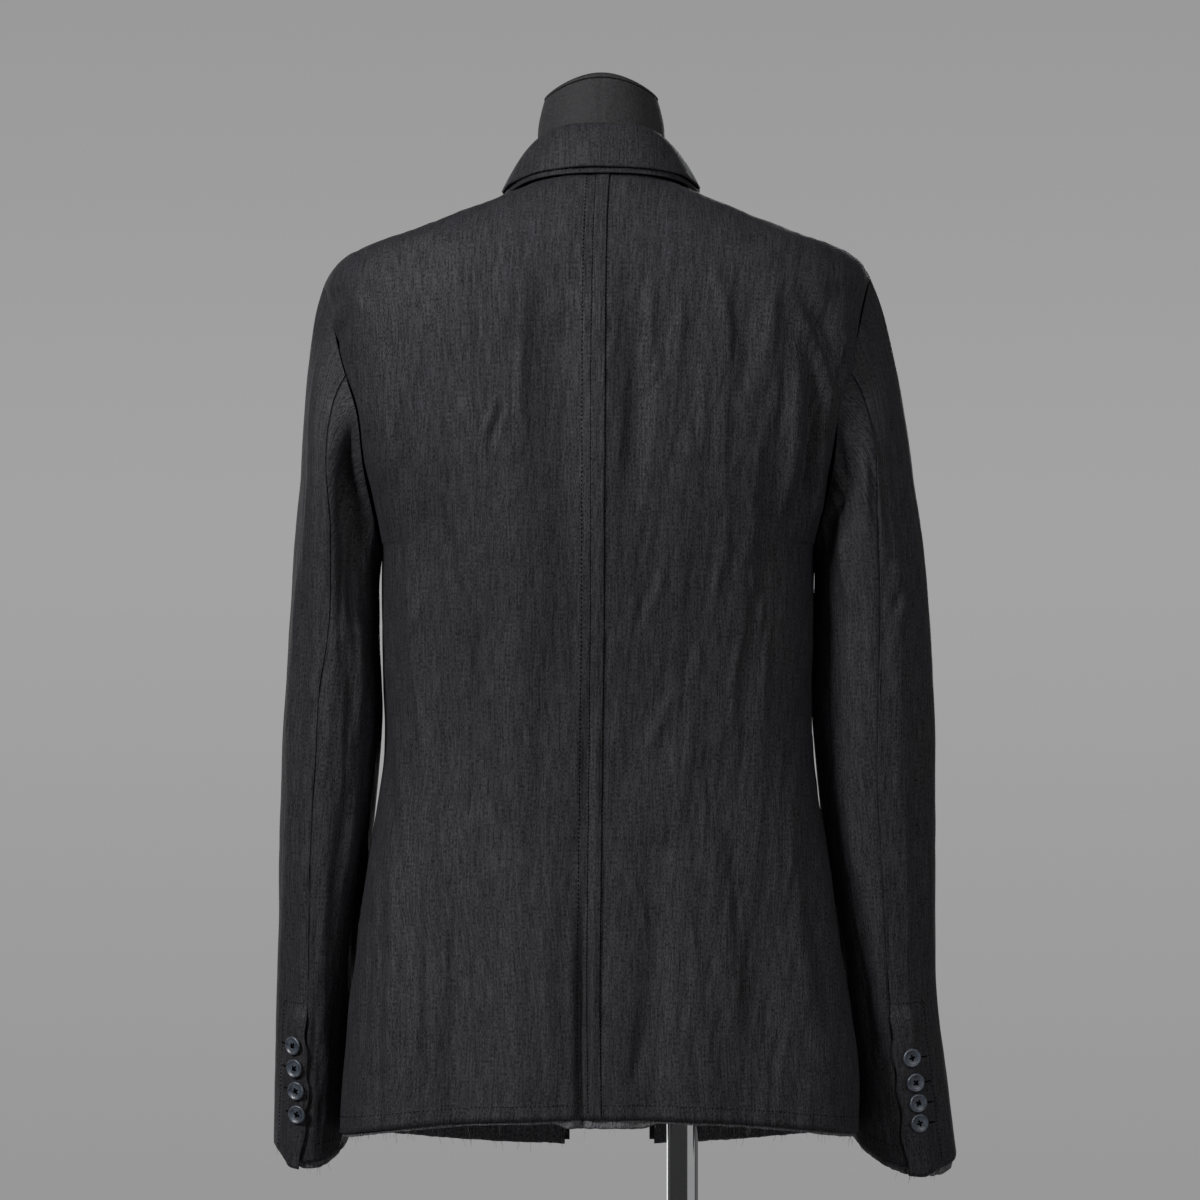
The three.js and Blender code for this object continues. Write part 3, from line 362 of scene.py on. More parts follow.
# On the sleeves the creases run over angle (degrees) and height
sleeveCreases = {
    1: table(
        creaseNames,
        [
            [99, 1296, 122, 1050, 20, -15, 0],
            [98, 1190, 118, 1096, 5, -2.6, 0],
            [84, 1230, 80, 1100, 6, 1.8, 0],
            [122, 1140, 106, 1040, 5, 1.9, 0],
            [128, 1090, 122, 960, 5, 2.2, 2],
            [112, 1060, 114, 930, 7, -2.4, 0],
            [126, 960, 132, 830, 5, 2, 0],
            [108, 930, 112, 800, 7, -2, 0],
            [140, 900, 136, 740, 6, 1.6, 0],
            [96, 880, 100, 760, 5, 1.2, 0],
            [60, 1120, 48, 960, 10, -1.8, 0],
            [36, 1000, 44, 820, 9, 1.6, 0],
            [20, 1180, 14, 1020, 9, -1.6, 0],
            [52, 820, 44, 700, 7, -1.3, 0],
            [88, 760, 104, 680, 6, -1.4, 0],
            [-30, 1060, -44, 900, 9, -2, 0],
            [-62, 1000, -70, 820, 8, 1.8, 0],
            [-20, 880, -32, 720, 8, -1.6, 0],
            [190, 1080, 186, 900, 8, -2, 0],
            [216, 960, 208, 800, 8, 1.6, 0],
            [-80, 1160, -96, 1060, 6, -2, 0],
        ],
    ),
    -1: table(
        creaseNames,
        [
            [84, 1225, 104, 1150, 4, -2.4, 0],
            [96, 1220, 90, 1120, 4, 2, -2],
            [106, 1200, 118, 1120, 4, -2.6, 0],
            [78, 1210, 74, 1100, 3.4, 1.6, 0],
            [112, 1164, 128, 1140, 3.4, -2.6, 0],
            [120, 1190, 112, 1144, 3.4, 1.6, 0],
            [128, 1130, 110, 1060, 5, 2.2, 0],
            [70, 1104, 56, 1090, 4, 1.8, 0],
            [64, 1084, 72, 1062, 3, -1.8, 0],
            [54, 1080, 66, 1052, 4, 1.6, 0],
            [132, 1080, 126, 940, 9, -2, 0],
            [100, 1020, 104, 860, 10, 1.8, 0],
            [58, 1220, 44, 1060, 7, -1.8, 0],
            [40, 1200, 30, 1090, 5, 1.4, 0],
            [46, 1000, 52, 840, 9, -1.4, 0],
            [118, 880, 128, 740, 8, -1.8, 0],
            [92, 860, 110, 700, 8, 1.8, 0],
            [26, 900, 34, 760, 8, 1.3, 0],
            [-30, 1080, -44, 920, 9, -2, 0],
            [-64, 980, -70, 800, 8, 1.8, 0],
            [-18, 860, -30, 720, 8, -1.6, 0],
            [192, 1060, 188, 900, 8, -2, 0],
            [218, 940, 210, 790, 8, 1.6, 0],
            [-82, 1160, -98, 1060, 6, -2, 0],
        ],
    ),
}

# Small puckers between the large creases: how many, where, how long, how deep
puckerSets = {
    "backRight": {"seed": 11, "count": 150, "x": (-200, -8), "z": (680, 1390), "lean": 0.14},
    "backLeft": {"seed": 23, "count": 90, "x": (8, 205), "z": (680, 1390), "lean": -0.03},
    "front": {"seed": 31, "count": 110, "x": (-195, 195), "z": (680, 1330), "lean": 0.05},
    "sleeve": {"seed": 47, "count": 90, "x": (-100, 240), "z": (690, 1230), "lean": 0.05},
}


def puckers(name, sizes=(24, 80), widths=(1.6, 3.6), depths=(0.22, 0.62)):
    setting = puckerSets[name]
    dice = random.Random(setting["seed"])
    rows = []
    for _ in range(setting["count"]):
        x, z = dice.uniform(*setting["x"]), dice.uniform(*setting["z"])
        length = dice.uniform(*sizes)
        lean = setting["lean"] + dice.gauss(0, 0.09)
        depth = dice.uniform(*depths) * dice.choice((1, 1, -1))
        rows.append([x, z + length / 2, x + length * lean, z - length / 2,
                     dice.uniform(*widths), depth, dice.gauss(0, 1)])
    return table(creaseNames, rows)


def joined(*tables):
    return {key: np.concatenate([t[key] for t in tables]) for key in tables[0]}


backAll = joined(backCreases, puckers("backRight"), puckers("backLeft"))
frontAll = joined(frontCreases, puckers("front"))
sleeveAll = {side: joined(sleeveCreases[side], puckers("sleeve")) for side in (1, -1)}


# How far the creases move the cloth: a soft trough or ridge with a fainter one on each side
def creaseDepth(creases, u, v):
    depth = np.zeros(np.broadcast(u, v).shape)
    for i in range(len(creases["x"])):
        c = {key: creases[key][i] for key in creases}
        du, dv = c["lowX"] - c["x"], c["lowZ"] - c["z"]
        length = math.hypot(du, dv)
        t = ((u - c["x"]) * du + (v - c["z"]) * dv) / length ** 2
        away = ((u - c["x"]) * dv - (v - c["z"]) * du) / length
        near = (t > 0) & (t < 1) & (np.abs(away) < 6 * c["width"] + abs(c["bow"]))
        if not near.any():
            continue
        s = (away[near] + c["bow"] * 4 * t[near] * (1 - t[near])) / c["width"]
        across = np.exp(-s * s) - 0.28 * np.exp(-((np.abs(s) - 2.1) ** 2))
        depth[near] += c["depth"] * np.sin(np.pi * t[near]) ** 0.8 * across
    return depth


# Fine crinkle over all the cloth: flat facets that meet in crisp lines, a little slanted.
# Each row of facets has its width, its length, its height and 1 for valleys or -1 for ridges.
crinkleSet = {
    "seed": 3,
    "facets": [
        (34, 240, 3.4, 1), (20, 150, 2.8, -1), (12, 90, 1.9, 1), (7, 56, 1.0, -1), (4.4, 32, 0.42, 1)],
    "soft": 0.05,
    "middle": 0.36,
    "wander": (5, 12),
    "lean": {"right": 0.1, "left": -0.02},
    "share": {"right": 0.82, "left": 0.9, "sleeve": 0.85},
    "frontShift": 700,
    "sleeveShift": 300,
    "sleeveStart": 20,
}
mainCreases = 1.3  # how much deeper the back's creases are than their table says
shoulderEase = 0.6  # how much flatter the cloth lies over the shoulders
crinkleDice = np.random.default_rng(crinkleSet["seed"])
latticeSize = 512
lattice = crinkleDice.uniform(-1, 1, (latticeSize, latticeSize))


def softNoise(u, v, shift):
    u, v = u + 37.3 * shift, v + 91.7 * shift
    i, j = np.floor(u).astype(int), np.floor(v).astype(int)
    s, t = u - i, v - j
    s, t = s * s * (3 - 2 * s), t * t * (3 - 2 * t)

    def corner(a, b):
        return lattice[(i + a) % latticeSize, (j + b) % latticeSize]

    low = corner(0, 0) * (1 - s) + corner(1, 0) * s
    high = corner(0, 1) * (1 - s) + corner(1, 1) * s
    return low * (1 - t) + high * t


def crinkle(u, v, start=0, lean=0.0):
    u = u + lean * (v - 1000)
    across, along = crinkleSet["wander"]
    drift = softNoise(u / 60, v / 110, start + 1), softNoise(u / 33, v / 70, start + 2)
    u, v = u + across * drift[0], v + along * drift[1]
    depth = np.zeros(u.shape)
    for k, (wide, long, high, way) in enumerate(crinkleSet["facets"]):
        line = softNoise(u / wide, v / long, start + 3 + k)
        shown = 0.35 + 0.65 * smooth(-0.4, 0.4, softNoise(u / 70, v / 120, start + 9 + k))
        depth += way * high * shown * (np.sqrt(line ** 2 + crinkleSet["soft"] ** 2) - crinkleSet["middle"])
    return depth


# The body's surface

def ringPoint(ring, side, angle):
    a = np.radians(angle)
    box = ring.get("box", 0)
    across = (np.sin(a) + box * np.sin(3 * a)) / (1 - box)
    along = (np.cos(a) - box * np.cos(3 * a)) / (1 - box)
    centre = np.cos(a) ** 2
    onBack = angle < 90
    depth = np.where(onBack, ring["backY"] - ring["midY"], ring["midY"] - ring["frontY"])
    height = np.where(onBack, ring["back"], ring["front"])
    seam = np.where(onBack, ring.get("seamX", 0) * centre, 0)
    return stack(
        side * ring["half"] * across + seam,
        ring["midY"] + depth * along,
        ring["side"] + (height - ring["side"]) * centre,
    )


def bodyRing(side, row):
    ring = {key: column(bodyTable, key, row)
            for key in ("back", "front", "midY", "backY", "frontY", "seamX", "box")}
    ring["side"] = column(bodyTable, "sideL" if side > 0 else "sideR", row)
    ring["half"] = column(bodyTable, "left" if side > 0 else "right", row)
    ring["open"] = column(bodyTable, "openL" if side > 0 else "openR", row)
    return ring


def foldDepth(p):
    x, z = p[..., 0], p[..., 2]
    depth = np.zeros(x.shape)
    for i in range(len(foldTable["x"])):
        f = {key: foldTable[key][i] for key in foldTable}
        t = (f["top"] - z) / (f["top"] - f["low"])
        away = (x - (f["x"] + (f["lowX"] - f["x"]) * t)) / f["width"]
        along = np.sin(np.pi * np.clip(t, 0, 1)) ** 0.8
        depth += f["depth"] * along * np.exp(-away * away)
    return depth


def bodyPoint(side, row, angle):
    p = ringPoint(bodyRing(side, row), side, angle)
    a = np.radians(angle)
    depth = foldDepth(p) * smooth(84, 66, angle)
    p[..., 0] += side * depth * np.sin(a) * 0.6
    p[..., 1] += depth * np.cos(a)
    return p


def angleAt(share, box):
    share, box = np.broadcast_arrays(np.asarray(share, float), np.asarray(box, float))
    low, high = np.zeros(share.shape), np.full(share.shape, 90.0)
    for _ in range(30):
        middle = (low + high) / 2
        a = np.radians(middle)
        under = (np.sin(a) + box * np.sin(3 * a)) / (1 - box) < share
        low, high = np.where(under, middle, low), np.where(under, high, middle)
    return np.where(high > 89.999, 90, (low + high) / 2)


def edgeAngle(row, part):
    row = np.asarray(row, float)
    share = column(armholeTable, part, np.clip(row - underarmRow, 0, 8))
    angle = angleAt(np.minimum(share, 1), column(bodyTable, "box", row))
    angle = angle if part == "back" else 180 - angle
    return np.where((row <= underarmRow) | (row >= tipRow), 90, angle)


def openAngle(side, row, inset=0):
    ring = bodyRing(side, row)
    return 180 - angleAt((ring["open"] + inset) / ring["half"], ring["box"])


def outward(surface, u, v, side):
    rowStep, turnStep = 0.02, 0.4
    alongU = surface(u + rowStep, v) - surface(u - rowStep, v)
    alongV = surface(u, v + turnStep) - surface(u, v - turnStep)
    return unit(np.cross(alongU, alongV)) * side


# Body cloth with its creases, lifted off by some millimetres
def bodyCloth(side, row, angle, lift=0.0):
    row, angle = np.broadcast_arrays(np.asarray(row, float), np.asarray(angle, float))
    p = bodyPoint(side, row, angle)
    normal = outward(lambda u, v: bodyPoint(side, u, v), np.minimum(row, neckRow - 0.02),
                     np.maximum(angle, 0.5), side)
    x, z = p[..., 0], p[..., 2]
    onBack = smooth(96, 84, angle)
    depth = (mainCreases * creaseDepth(backAll, x, z) * onBack
             + creaseDepth(frontAll, x, z) * (1 - onBack))
    share, lean = (np.where(x < 0, crinkleSet[key]["right"], crinkleSet[key]["left"])
                   for key in ("share", "lean"))
    depth = depth + share * crinkle(np.where(onBack > 0.5, x, x + crinkleSet["frontShift"]), z, 0, lean)
    # it lies flatter over the shoulders, and is smooth under the collar
    depth = depth * (1 - shoulderEase * smooth(15, 20, row)) * smooth(neckRow, neckRow - 2.5, row)
    return p + normal * (depth + lift)[..., None], normal


# The sleeves' surface

def armholePoint(side, angle):
    turned = np.mod(angle, 360)
    onBack = turned <= 180
    down = np.where(onBack, turned / 180, (360 - turned) / 180)
    row = tipRow - down * (tipRow - underarmRow)
    at = np.where(onBack, edgeAngle(row, "back"), edgeAngle(row, "front"))
    return bodyPoint(side, row, at)


def sleeveRing(side, row, angle):
    rows = sleeveTables[side]
    at = {key: column(rows, key, row - 1) for key in rows}
    a = np.radians(angle)
    centre, half = (at["inner"] + at["outer"]) / 2, (at["outer"] - at["inner"]) / 2
    return stack(
        side * (centre + half * np.cos(a)),
        at["midY"] + at["halfY"] * np.sin(a),
        at["z"] + at["raise"] * np.cos(a) - at["drop"] * np.sin(a),
    )


# Row 0 is the armhole, 1 the upper arm, 9 the cuff
def sleevePoint(side, row, angle):
    row, angle = np.broadcast_arrays(np.asarray(row, float), np.asarray(angle, float))
    start = armholePoint(side, angle)
    end = sleeveRing(side, np.ones(row.shape), angle)
    a = np.radians(angle)
    chord = end - start
    bulge = capBulge * (0.5 + 0.5 * np.cos(a)) + sideBulge * np.sin(a) ** 2
    leave = chord + stack(side * bulge, 0, 0)
    arrive = sleeveRing(side, np.full(row.shape, 1.3), angle) - end
    arrive = unit(arrive) * np.linalg.norm(chord, axis=-1, keepdims=True)
    t = np.clip(row, -0.1, 1)[..., None]
    head = (start * (2 * t ** 3 - 3 * t ** 2 + 1) + leave * (t ** 3 - 2 * t ** 2 + t)
            + end * (3 * t ** 2 - 2 * t ** 3) + arrive * (t ** 3 - t ** 2))
    return np.where((row >= 1)[..., None], sleeveRing(side, np.maximum(row, 1), angle), head)


def seamAngle(side, row):
    row = np.asarray(row, float)
    seam = column(sleeveTables[side], "seam", np.maximum(row - 1, 0))
    return armholeSeam + (seam - armholeSeam) * smooth(0, 1, row)


sleevePerDegree = 0.9  # millimetres round the sleeve


def sleeveCloth(side, row, angle, lift=0.0):
    row, angle = np.broadcast_arrays(np.asarray(row, float), np.asarray(angle, float))
    p = sleevePoint(side, row, angle)
    normal = outward(lambda u, v: sleevePoint(side, u, v), np.maximum(row, 0.03), angle, side)
    creases = dict(sleeveAll[side])
    creases["x"], creases["lowX"] = creases["x"] * sleevePerDegree, creases["lowX"] * sleevePerDegree
    depth = creaseDepth(creases, angle * sleevePerDegree, p[..., 2])
    turned = sleevePerDegree * 90 * (1 + np.sin(np.radians(angle - 90))) + crinkleSet["sleeveShift"]
    depth = depth + crinkleSet["share"]["sleeve"] * crinkle(turned, p[..., 2], crinkleSet["sleeveStart"])
    depth = depth * smooth(0, 0.12, row)
    return p + normal * (depth + lift)[..., None], normal


# Making meshes

def linked(obj, node):
    bpy.context.scene.collection.objects.link(obj)
    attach(obj, "root")
    if node:
        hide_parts(node)
    return obj


def meshObject(name, points, faces, material, node, uv=None):
    mesh = bpy.data.meshes.new(name)
    mesh.from_pydata([tuple(p) for p in np.asarray(points) * mm], [], faces)
    mesh.polygons.foreach_set("use_smooth", [True] * len(mesh.polygons))
    if uv is not None:
        layer = mesh.uv_layers.new(name="weave")
        order = np.zeros(len(mesh.loops), int)
        mesh.loops.foreach_get("vertex_index", order)
        layer.data.foreach_set("uv", np.asarray(uv)[order].ravel())
    mesh.materials.append(material)
    mesh.update()
    return linked(bpy.data.objects.new(name, mesh), node)


def gridFaces(rows, columns, side, closed=False):
    faces = []
    wide = columns if closed else columns + 1
    for j in range(rows):
        for i in range(columns):
            a, b = j * wide + i, j * wide + (i + 1) % wide
            quad = (a, a + wide, b + wide, b)
            faces.append(quad if side > 0 else quad[::-1])
    return faces


# Places along the weave, in metres: across and along the piece. The threads of a hung piece
# run straight down from where it is cut on the grain; other pieces follow their own length.
def weaveOf(grid, grain):
    across = np.linalg.norm(np.diff(grid, axis=1), axis=-1)
    along = np.linalg.norm(np.diff(grid, axis=0), axis=-1).mean(axis=1)
    u = np.concatenate([np.zeros((grid.shape[0], 1)), np.cumsum(across, axis=1)], axis=1)
    if grain is None:
        u -= u[:, u.shape[1] // 2][:, None]
        v = np.concatenate([[0], np.cumsum(along)])[:, None] * np.ones((1, grid.shape[1]))
    else:
        u -= u[:, int(round(grain * (u.shape[1] - 1)))][:, None]
        rise = np.diff(grid[..., 2], axis=0)
        way = np.sign(rise.mean(axis=0))
        turned = smooth(1230, 1310, grid[1:, :, 2])
        climb = rise * (1 - turned) + way * np.linalg.norm(np.diff(grid, axis=0), axis=-1) * turned
        v = np.concatenate([grid[:1, :, 2], climb]).cumsum(axis=0)
    return np.stack([u, v], axis=-1).reshape(-1, 2) * mm


cutSizes = {}


# A cloth shell over a grid of points, its cut worked out from its own lengths
def clothShell(name, grid, side, material, node, wall=1.3, grain=None, closed=False):
    rows, columns = grid.shape[0] - 1, grid.shape[1] - (0 if closed else 1)
    shell = meshObject(name, grid.reshape(-1, 3), gridFaces(rows, columns, side, closed),
                       material, node, weaveOf(grid, grain))
    solid = shell.modifiers.new("wall", "SOLIDIFY")
    solid.thickness, solid.offset = wall * mm, -1
    across = np.linalg.norm(np.diff(grid, axis=1), axis=-1).sum(axis=1)
    if closed:
        across = across + np.linalg.norm(grid[:, 0] - grid[:, -1], axis=-1)
    along = np.linalg.norm(np.diff(grid, axis=0), axis=-1).sum(axis=0)
    area = sum(p.area for p in shell.data.polygons)
    width, length = across.max() * mm, along.max() * mm
    cutSizes[name] = (round(width, 3), round(length, 3), round(area, 4))
    return shell


# Even steps with a few close ones at both ends, for rolled edges
def steps(count, edge=(0.002, 0.006, 0.012)):
    inner = np.linspace(0, 1, count)
    return np.unique(np.concatenate([inner, edge, 1 - np.array(edge)]))


# Materials

def newMaterial(name):
    material = bpy.data.materials.new(name)
    material.use_nodes = True
    tree = material.node_tree
    return material, tree, tree.nodes["Principled BSDF"]


def node(tree, kind, **values):
    made = tree.nodes.new(kind)
    for key, value in values.items():
        if hasattr(made, key):
            setattr(made, key, value)
        else:
            made.inputs[key.replace("_", " ")].default_value = value
    return made


# Noise stretched along the weave: cycles in a metre across and along
def weaveNoise(tree, across, along, detail=2.0, rough=0.5):
    place = node(tree, "ShaderNodeUVMap", uv_map="weave")
    scale = node(tree, "ShaderNodeMapping")
    scale.inputs["Scale"].default_value = (across, along, 1)
    noise = node(tree, "ShaderNodeTexNoise", Scale=1.0, Detail=detail, Roughness=rough)
    tree.links.new(place.outputs["UV"], scale.inputs["Vector"])
    tree.links.new(scale.outputs["Vector"], noise.inputs["Vector"])
    return noise.outputs["Fac"]


def spread(tree, value, low, high, fromLow=0.3, fromHigh=0.7):
    ranged = node(tree, "ShaderNodeMapRange")
    tree.links.new(value, ranged.inputs["Value"])
    for key, number in (("From Min", fromLow), ("From Max", fromHigh), ("To Min", low), ("To Max", high)):
        ranged.inputs[key].default_value = number
    return ranged.outputs["Result"]


def maths(tree, operation, a, b):
    made = node(tree, "ShaderNodeMath", operation=operation)
    for i, value in enumerate((a, b)):
        if isinstance(value, (int, float)):
            made.inputs[i].default_value = value
        else:
            tree.links.new(value, made.inputs[i])
    return made.outputs[0]


def blendColours(tree, value, low, high, method="MIX"):
    mix = node(tree, "ShaderNodeMix", data_type="RGBA", blend_type=method)
    for socket, colour in ((mix.inputs[6], low), (mix.inputs[7], high)):
        if isinstance(colour, tuple):
            socket.default_value = (*colour, 1)
        else:
            tree.links.new(colour, socket)
    if isinstance(value, (int, float)):
        mix.inputs[0].default_value = value
    else:
        tree.links.new(value, mix.inputs[0])
    return mix.outputs[2]


clothLook = {
    "dark": (0.0026, 0.0025, 0.003),
    "light": (0.0232, 0.0228, 0.0262),
    "warm": (1.03, 1.0, 0.98),
    "cool": (0.98, 0.98, 1.05),
    "roughness": (0.6, 0.8),
    "specular": 0.26,
    "sheen": 0.01,
    "threadBump": 0.00034,
    "creaseBump": 0.0011,
    "rippleBump": 0.0005,
}


# Small creases: noise folded at its middle, so that its lines are crisp
def foldedNoise(tree, across, along):
    middle = maths(tree, "SUBTRACT", weaveNoise(tree, across, along, 1.0), 0.5)
    return maths(tree, "ABSOLUTE", middle, 0)


def weighted(tree, *pairs):
    total = None
    for value, weight in pairs:
        part = maths(tree, "MULTIPLY", value, weight)
        total = part if total is None else maths(tree, "ADD", total, part)
    return total


# The weave's noises: cycles in a metre across and along, detail, roughness, share of the tone
weaveTable = table("across along detail rough share", [
    [900, 420, 2, 0.6, 0.5],
    [700, 50, 2, 0.5, 0.32],
    [90, 700, 2, 0.5, 0.12],
    [240, 16, 1, 0.5, 0.06],
])


# A plain weave: fine grain of both threads, few longer slubs, small creases over it
def crinkledCloth(name, look):
    material, tree, shader = newMaterial(name)
    noises = zip(*(weaveTable[key].tolist() for key in weaveTable))
    threads = weighted(tree, *((weaveNoise(tree, *noise[:4]), noise[4]) for noise in noises))
    patch = weaveNoise(tree, 24, 12, 3)
    tone = spread(tree, threads, 0, 1, 0.41, 0.59)
    base = blendColours(tree, tone, look["dark"], look["light"])
    tint = blendColours(tree, spread(tree, patch, 0, 1, 0.38, 0.62), look["cool"], look["warm"])
    tree.links.new(blendColours(tree, 1.0, base, tint, "MULTIPLY"), shader.inputs["Base Color"])
    tree.links.new(spread(tree, threads, look["roughness"][1], look["roughness"][0], 0.4, 0.6),
                   shader.inputs["Roughness"])
    shader.inputs["Sheen Weight"].default_value = look["sheen"]
    shader.inputs["Sheen Roughness"].default_value = 0.4
    shader.inputs["Specular IOR Level"].default_value = look["specular"]
    shader.inputs["IOR"].default_value = 1.4
    normal = None
    for value, distance in ((foldedNoise(tree, 120, 22), look["creaseBump"]),
                            (foldedNoise(tree, 260, 60), look["rippleBump"]),
                            (threads, look["threadBump"])):
        bump = node(tree, "ShaderNodeBump", Strength=1.0, Distance=distance)
        tree.links.new(value, bump.inputs["Height"])
        if normal:
            tree.links.new(normal, bump.inputs["Normal"])
        normal = bump.outputs["Normal"]
    tree.links.new(normal, shader.inputs["Normal"])
    return material


def simpleFinish(name, low, high, roughness, grain=400, bump=0.00005, **sockets):
    material, tree, shader = newMaterial(name)
    place = node(tree, "ShaderNodeTexCoord")
    noise = node(tree, "ShaderNodeTexNoise", Scale=float(grain), Detail=3.0)
    tree.links.new(place.outputs["Object"], noise.inputs["Vector"])
    value = noise.outputs["Fac"]
    tree.links.new(blendColours(tree, spread(tree, value, 0, 1), low, high), shader.inputs["Base Color"])
    tree.links.new(spread(tree, value, roughness[0], roughness[1]), shader.inputs["Roughness"])
    made = node(tree, "ShaderNodeBump", Strength=1.0, Distance=bump)
    tree.links.new(value, made.inputs["Height"])
    tree.links.new(made.outputs["Normal"], shader.inputs["Normal"])
    for key, number in sockets.items():
        shader.inputs[key.replace("_", " ")].default_value = number
    return material


suitCloth = crinkledCloth("suitCloth", clothLook)
rawCloth = crinkledCloth("rawEdgeCloth", {
    **clothLook, "dark": (0.022, 0.022, 0.024), "light": (0.115, 0.115, 0.12), "creaseBump": 0.0004})
seamThread = simpleFinish("seamThread", (0.0002, 0.0002, 0.0003), (0.0009, 0.0009, 0.0011),
                          (0.8, 0.95), 900, Specular_IOR_Level=0.0)
frayThread = simpleFinish("frayThread", (0.05, 0.05, 0.054), (0.12, 0.12, 0.125), (0.55, 0.75), 500)
buttonHorn = simpleFinish("buttonHorn", (0.013, 0.017, 0.024), (0.05, 0.06, 0.078), (0.34, 0.5), 260,
                          bump=0.00003, Coat_Weight=0.15, Coat_Roughness=0.3)
formCover = simpleFinish("formCover", (0.004, 0.004, 0.0045), (0.024, 0.024, 0.026), (0.72, 0.9), 620,
                         bump=0.0004, Specular_IOR_Level=0.3)
chromeSteel = simpleFinish("chromeSteel", (0.72, 0.73, 0.74), (0.8, 0.8, 0.81), (0.07, 0.13), 60,
                           bump=0.000004, Metallic=1.0)
print("materials made")

# Panels of the body

panelSet = {"backColumns": 150, "frontColumns": 80, "rowsEach": 10.2, "edgeRoll": 1.1, "rollWidth": 1.8}


# Cloth edges turn in a little where they are seamed
def rolledEdge(grid, normals, first, last):
    width = panelSet["rollWidth"]
    steps0 = np.linalg.norm(np.diff(grid, axis=1), axis=-1)
    fromStart = np.concatenate([np.zeros((grid.shape[0], 1)), np.cumsum(steps0, axis=1)], axis=1)
    fromEnd = fromStart[:, -1:] - fromStart
    roll = np.zeros(fromStart.shape)
    if first:
        roll += np.exp(-((fromStart / width) ** 2))
    if last:
        roll += np.exp(-((fromEnd / width) ** 2))
    return grid - normals * (roll * panelSet["edgeRoll"])[..., None]


def bodyRows(low=0.0, high=neckRow):
    return np.linspace(low, high, int((high - low) * panelSet["rowsEach"]) + 1)


def backGrid(side):
    rows = bodyRows()[:, None]
    across = steps(panelSet["backColumns"])[None, :]
    grid, normals = bodyCloth(side, rows, edgeAngle(rows, "back") * across)
    return rolledEdge(grid, normals, False, True)


def frontGrid(side):
    rows = bodyRows()[:, None]
    across = steps(panelSet["frontColumns"])[None, :]
    start = edgeAngle(rows, "front")
    grid, normals = bodyCloth(side, rows, start + (openAngle(side, rows) - start) * across)
    return rolledEdge(grid, normals, True, False)


for side, label in ((1, "left"), (-1, "right")):
    clothShell(f"back_{label}_cloth", backGrid(side), side, suitCloth, f"back_{label}",
               grain=0)
    clothShell(f"front_{label}_cloth", frontGrid(side), side, suitCloth, f"front_{label}",
               grain=0.3)
print("backs and fronts made")

# Lapels

lapelSet = {"foot": 5, "width": 84, "topRow": 21, "tipRow": 19.3, "flat": 2.6, "roll": 2.5,
            "rows": 90, "columns": 40}


def lapelGrid(side):
    up = np.linspace(0, 1, lapelSet["rows"])[:, None]
    out = steps(lapelSet["columns"])[None, :]
    top = lapelSet["topRow"] + (lapelSet["tipRow"] - lapelSet["topRow"]) * out
    row = breakRow + (top - breakRow) * up
    width = lapelSet["foot"] + (lapelSet["width"] - lapelSet["foot"]) * up ** 0.9
    rise = lapelSet["flat"] + lapelSet["roll"] * np.sin(np.pi * np.sqrt(out))
    angle = openAngle(side, row, width * out)
    grid, _ = bodyCloth(side, row, angle, np.broadcast_to(rise, row.shape))
    return grid


for side, label in ((1, "left"), (-1, "right")):
    grid = lapelGrid(side)
    clothShell(f"lapel_{label}_cloth", grid, -side, suitCloth, f"lapel_{label}")
print("lapels made")

# Sleeves

sleeveSet = {
    "columns": 62, "rowsEach": 22, "ventWave": 1.1, "corner": 6, "lapFrom": 12 / 16, "lapTo": 15 / 16}
underlapSet = {"lap": 6, "width": 33, "inside": -2.05, "rows": 30, "columns": 14, "wall": 0.9}
cuffPerDegree = 0.75  # millimetres round the cuff


def ventReach(side, row):
    reach = ventTable["left" if side > 0 else "right"]
    wave = sleeveSet["ventWave"] * np.sin((row - ventRow) * 13) * smooth(ventRow, ventRow + 0.3, row)
    return np.interp(row, ventTable["row"], reach) + wave


def topSleeveAt(side, row, t, lift=0.0):
    start, end = frontSeam - 360, seamAngle(side, row)
    lapped = smooth(sleeveSet["lapFrom"], sleeveSet["lapTo"], t) * (row >= ventRow)
    angle = start + (end - start) * t + ventReach(side, row) / cuffPerDegree * lapped
    lift = lift + ventLift * lapped * smooth(ventRow, ventRow + 0.2, row)
    p, normal = sleeveCloth(side, row, angle, lift)
    p[..., 2] -= sleeveSet["corner"] * lapped ** 2 * smooth(8.3, cuffRow, row)
    return p, normal


def sleeveRowSteps(low=0.0, high=cuffRow):
    inner = np.linspace(low, high, int((high - low) * sleeveSet["rowsEach"]) + 1)
    return np.unique(np.concatenate([inner, [0.006, 0.014, ventRow - 0.01, ventRow]]))


def topSleeveGrid(side):
    rows = sleeveRowSteps()[:, None]
    grid, normals = topSleeveAt(side, rows, steps(sleeveSet["columns"])[None, :])
    return rolledEdge(grid, normals, True, False)


def underSleeveGrid(side):
    rows = sleeveRowSteps()[:, None]
    start = seamAngle(side, rows)
    angle = start + (frontSeam - start) * steps(sleeveSet["columns"])[None, :]
    grid, normals = sleeveCloth(side, rows, angle)
    return rolledEdge(grid, normals, True, True)


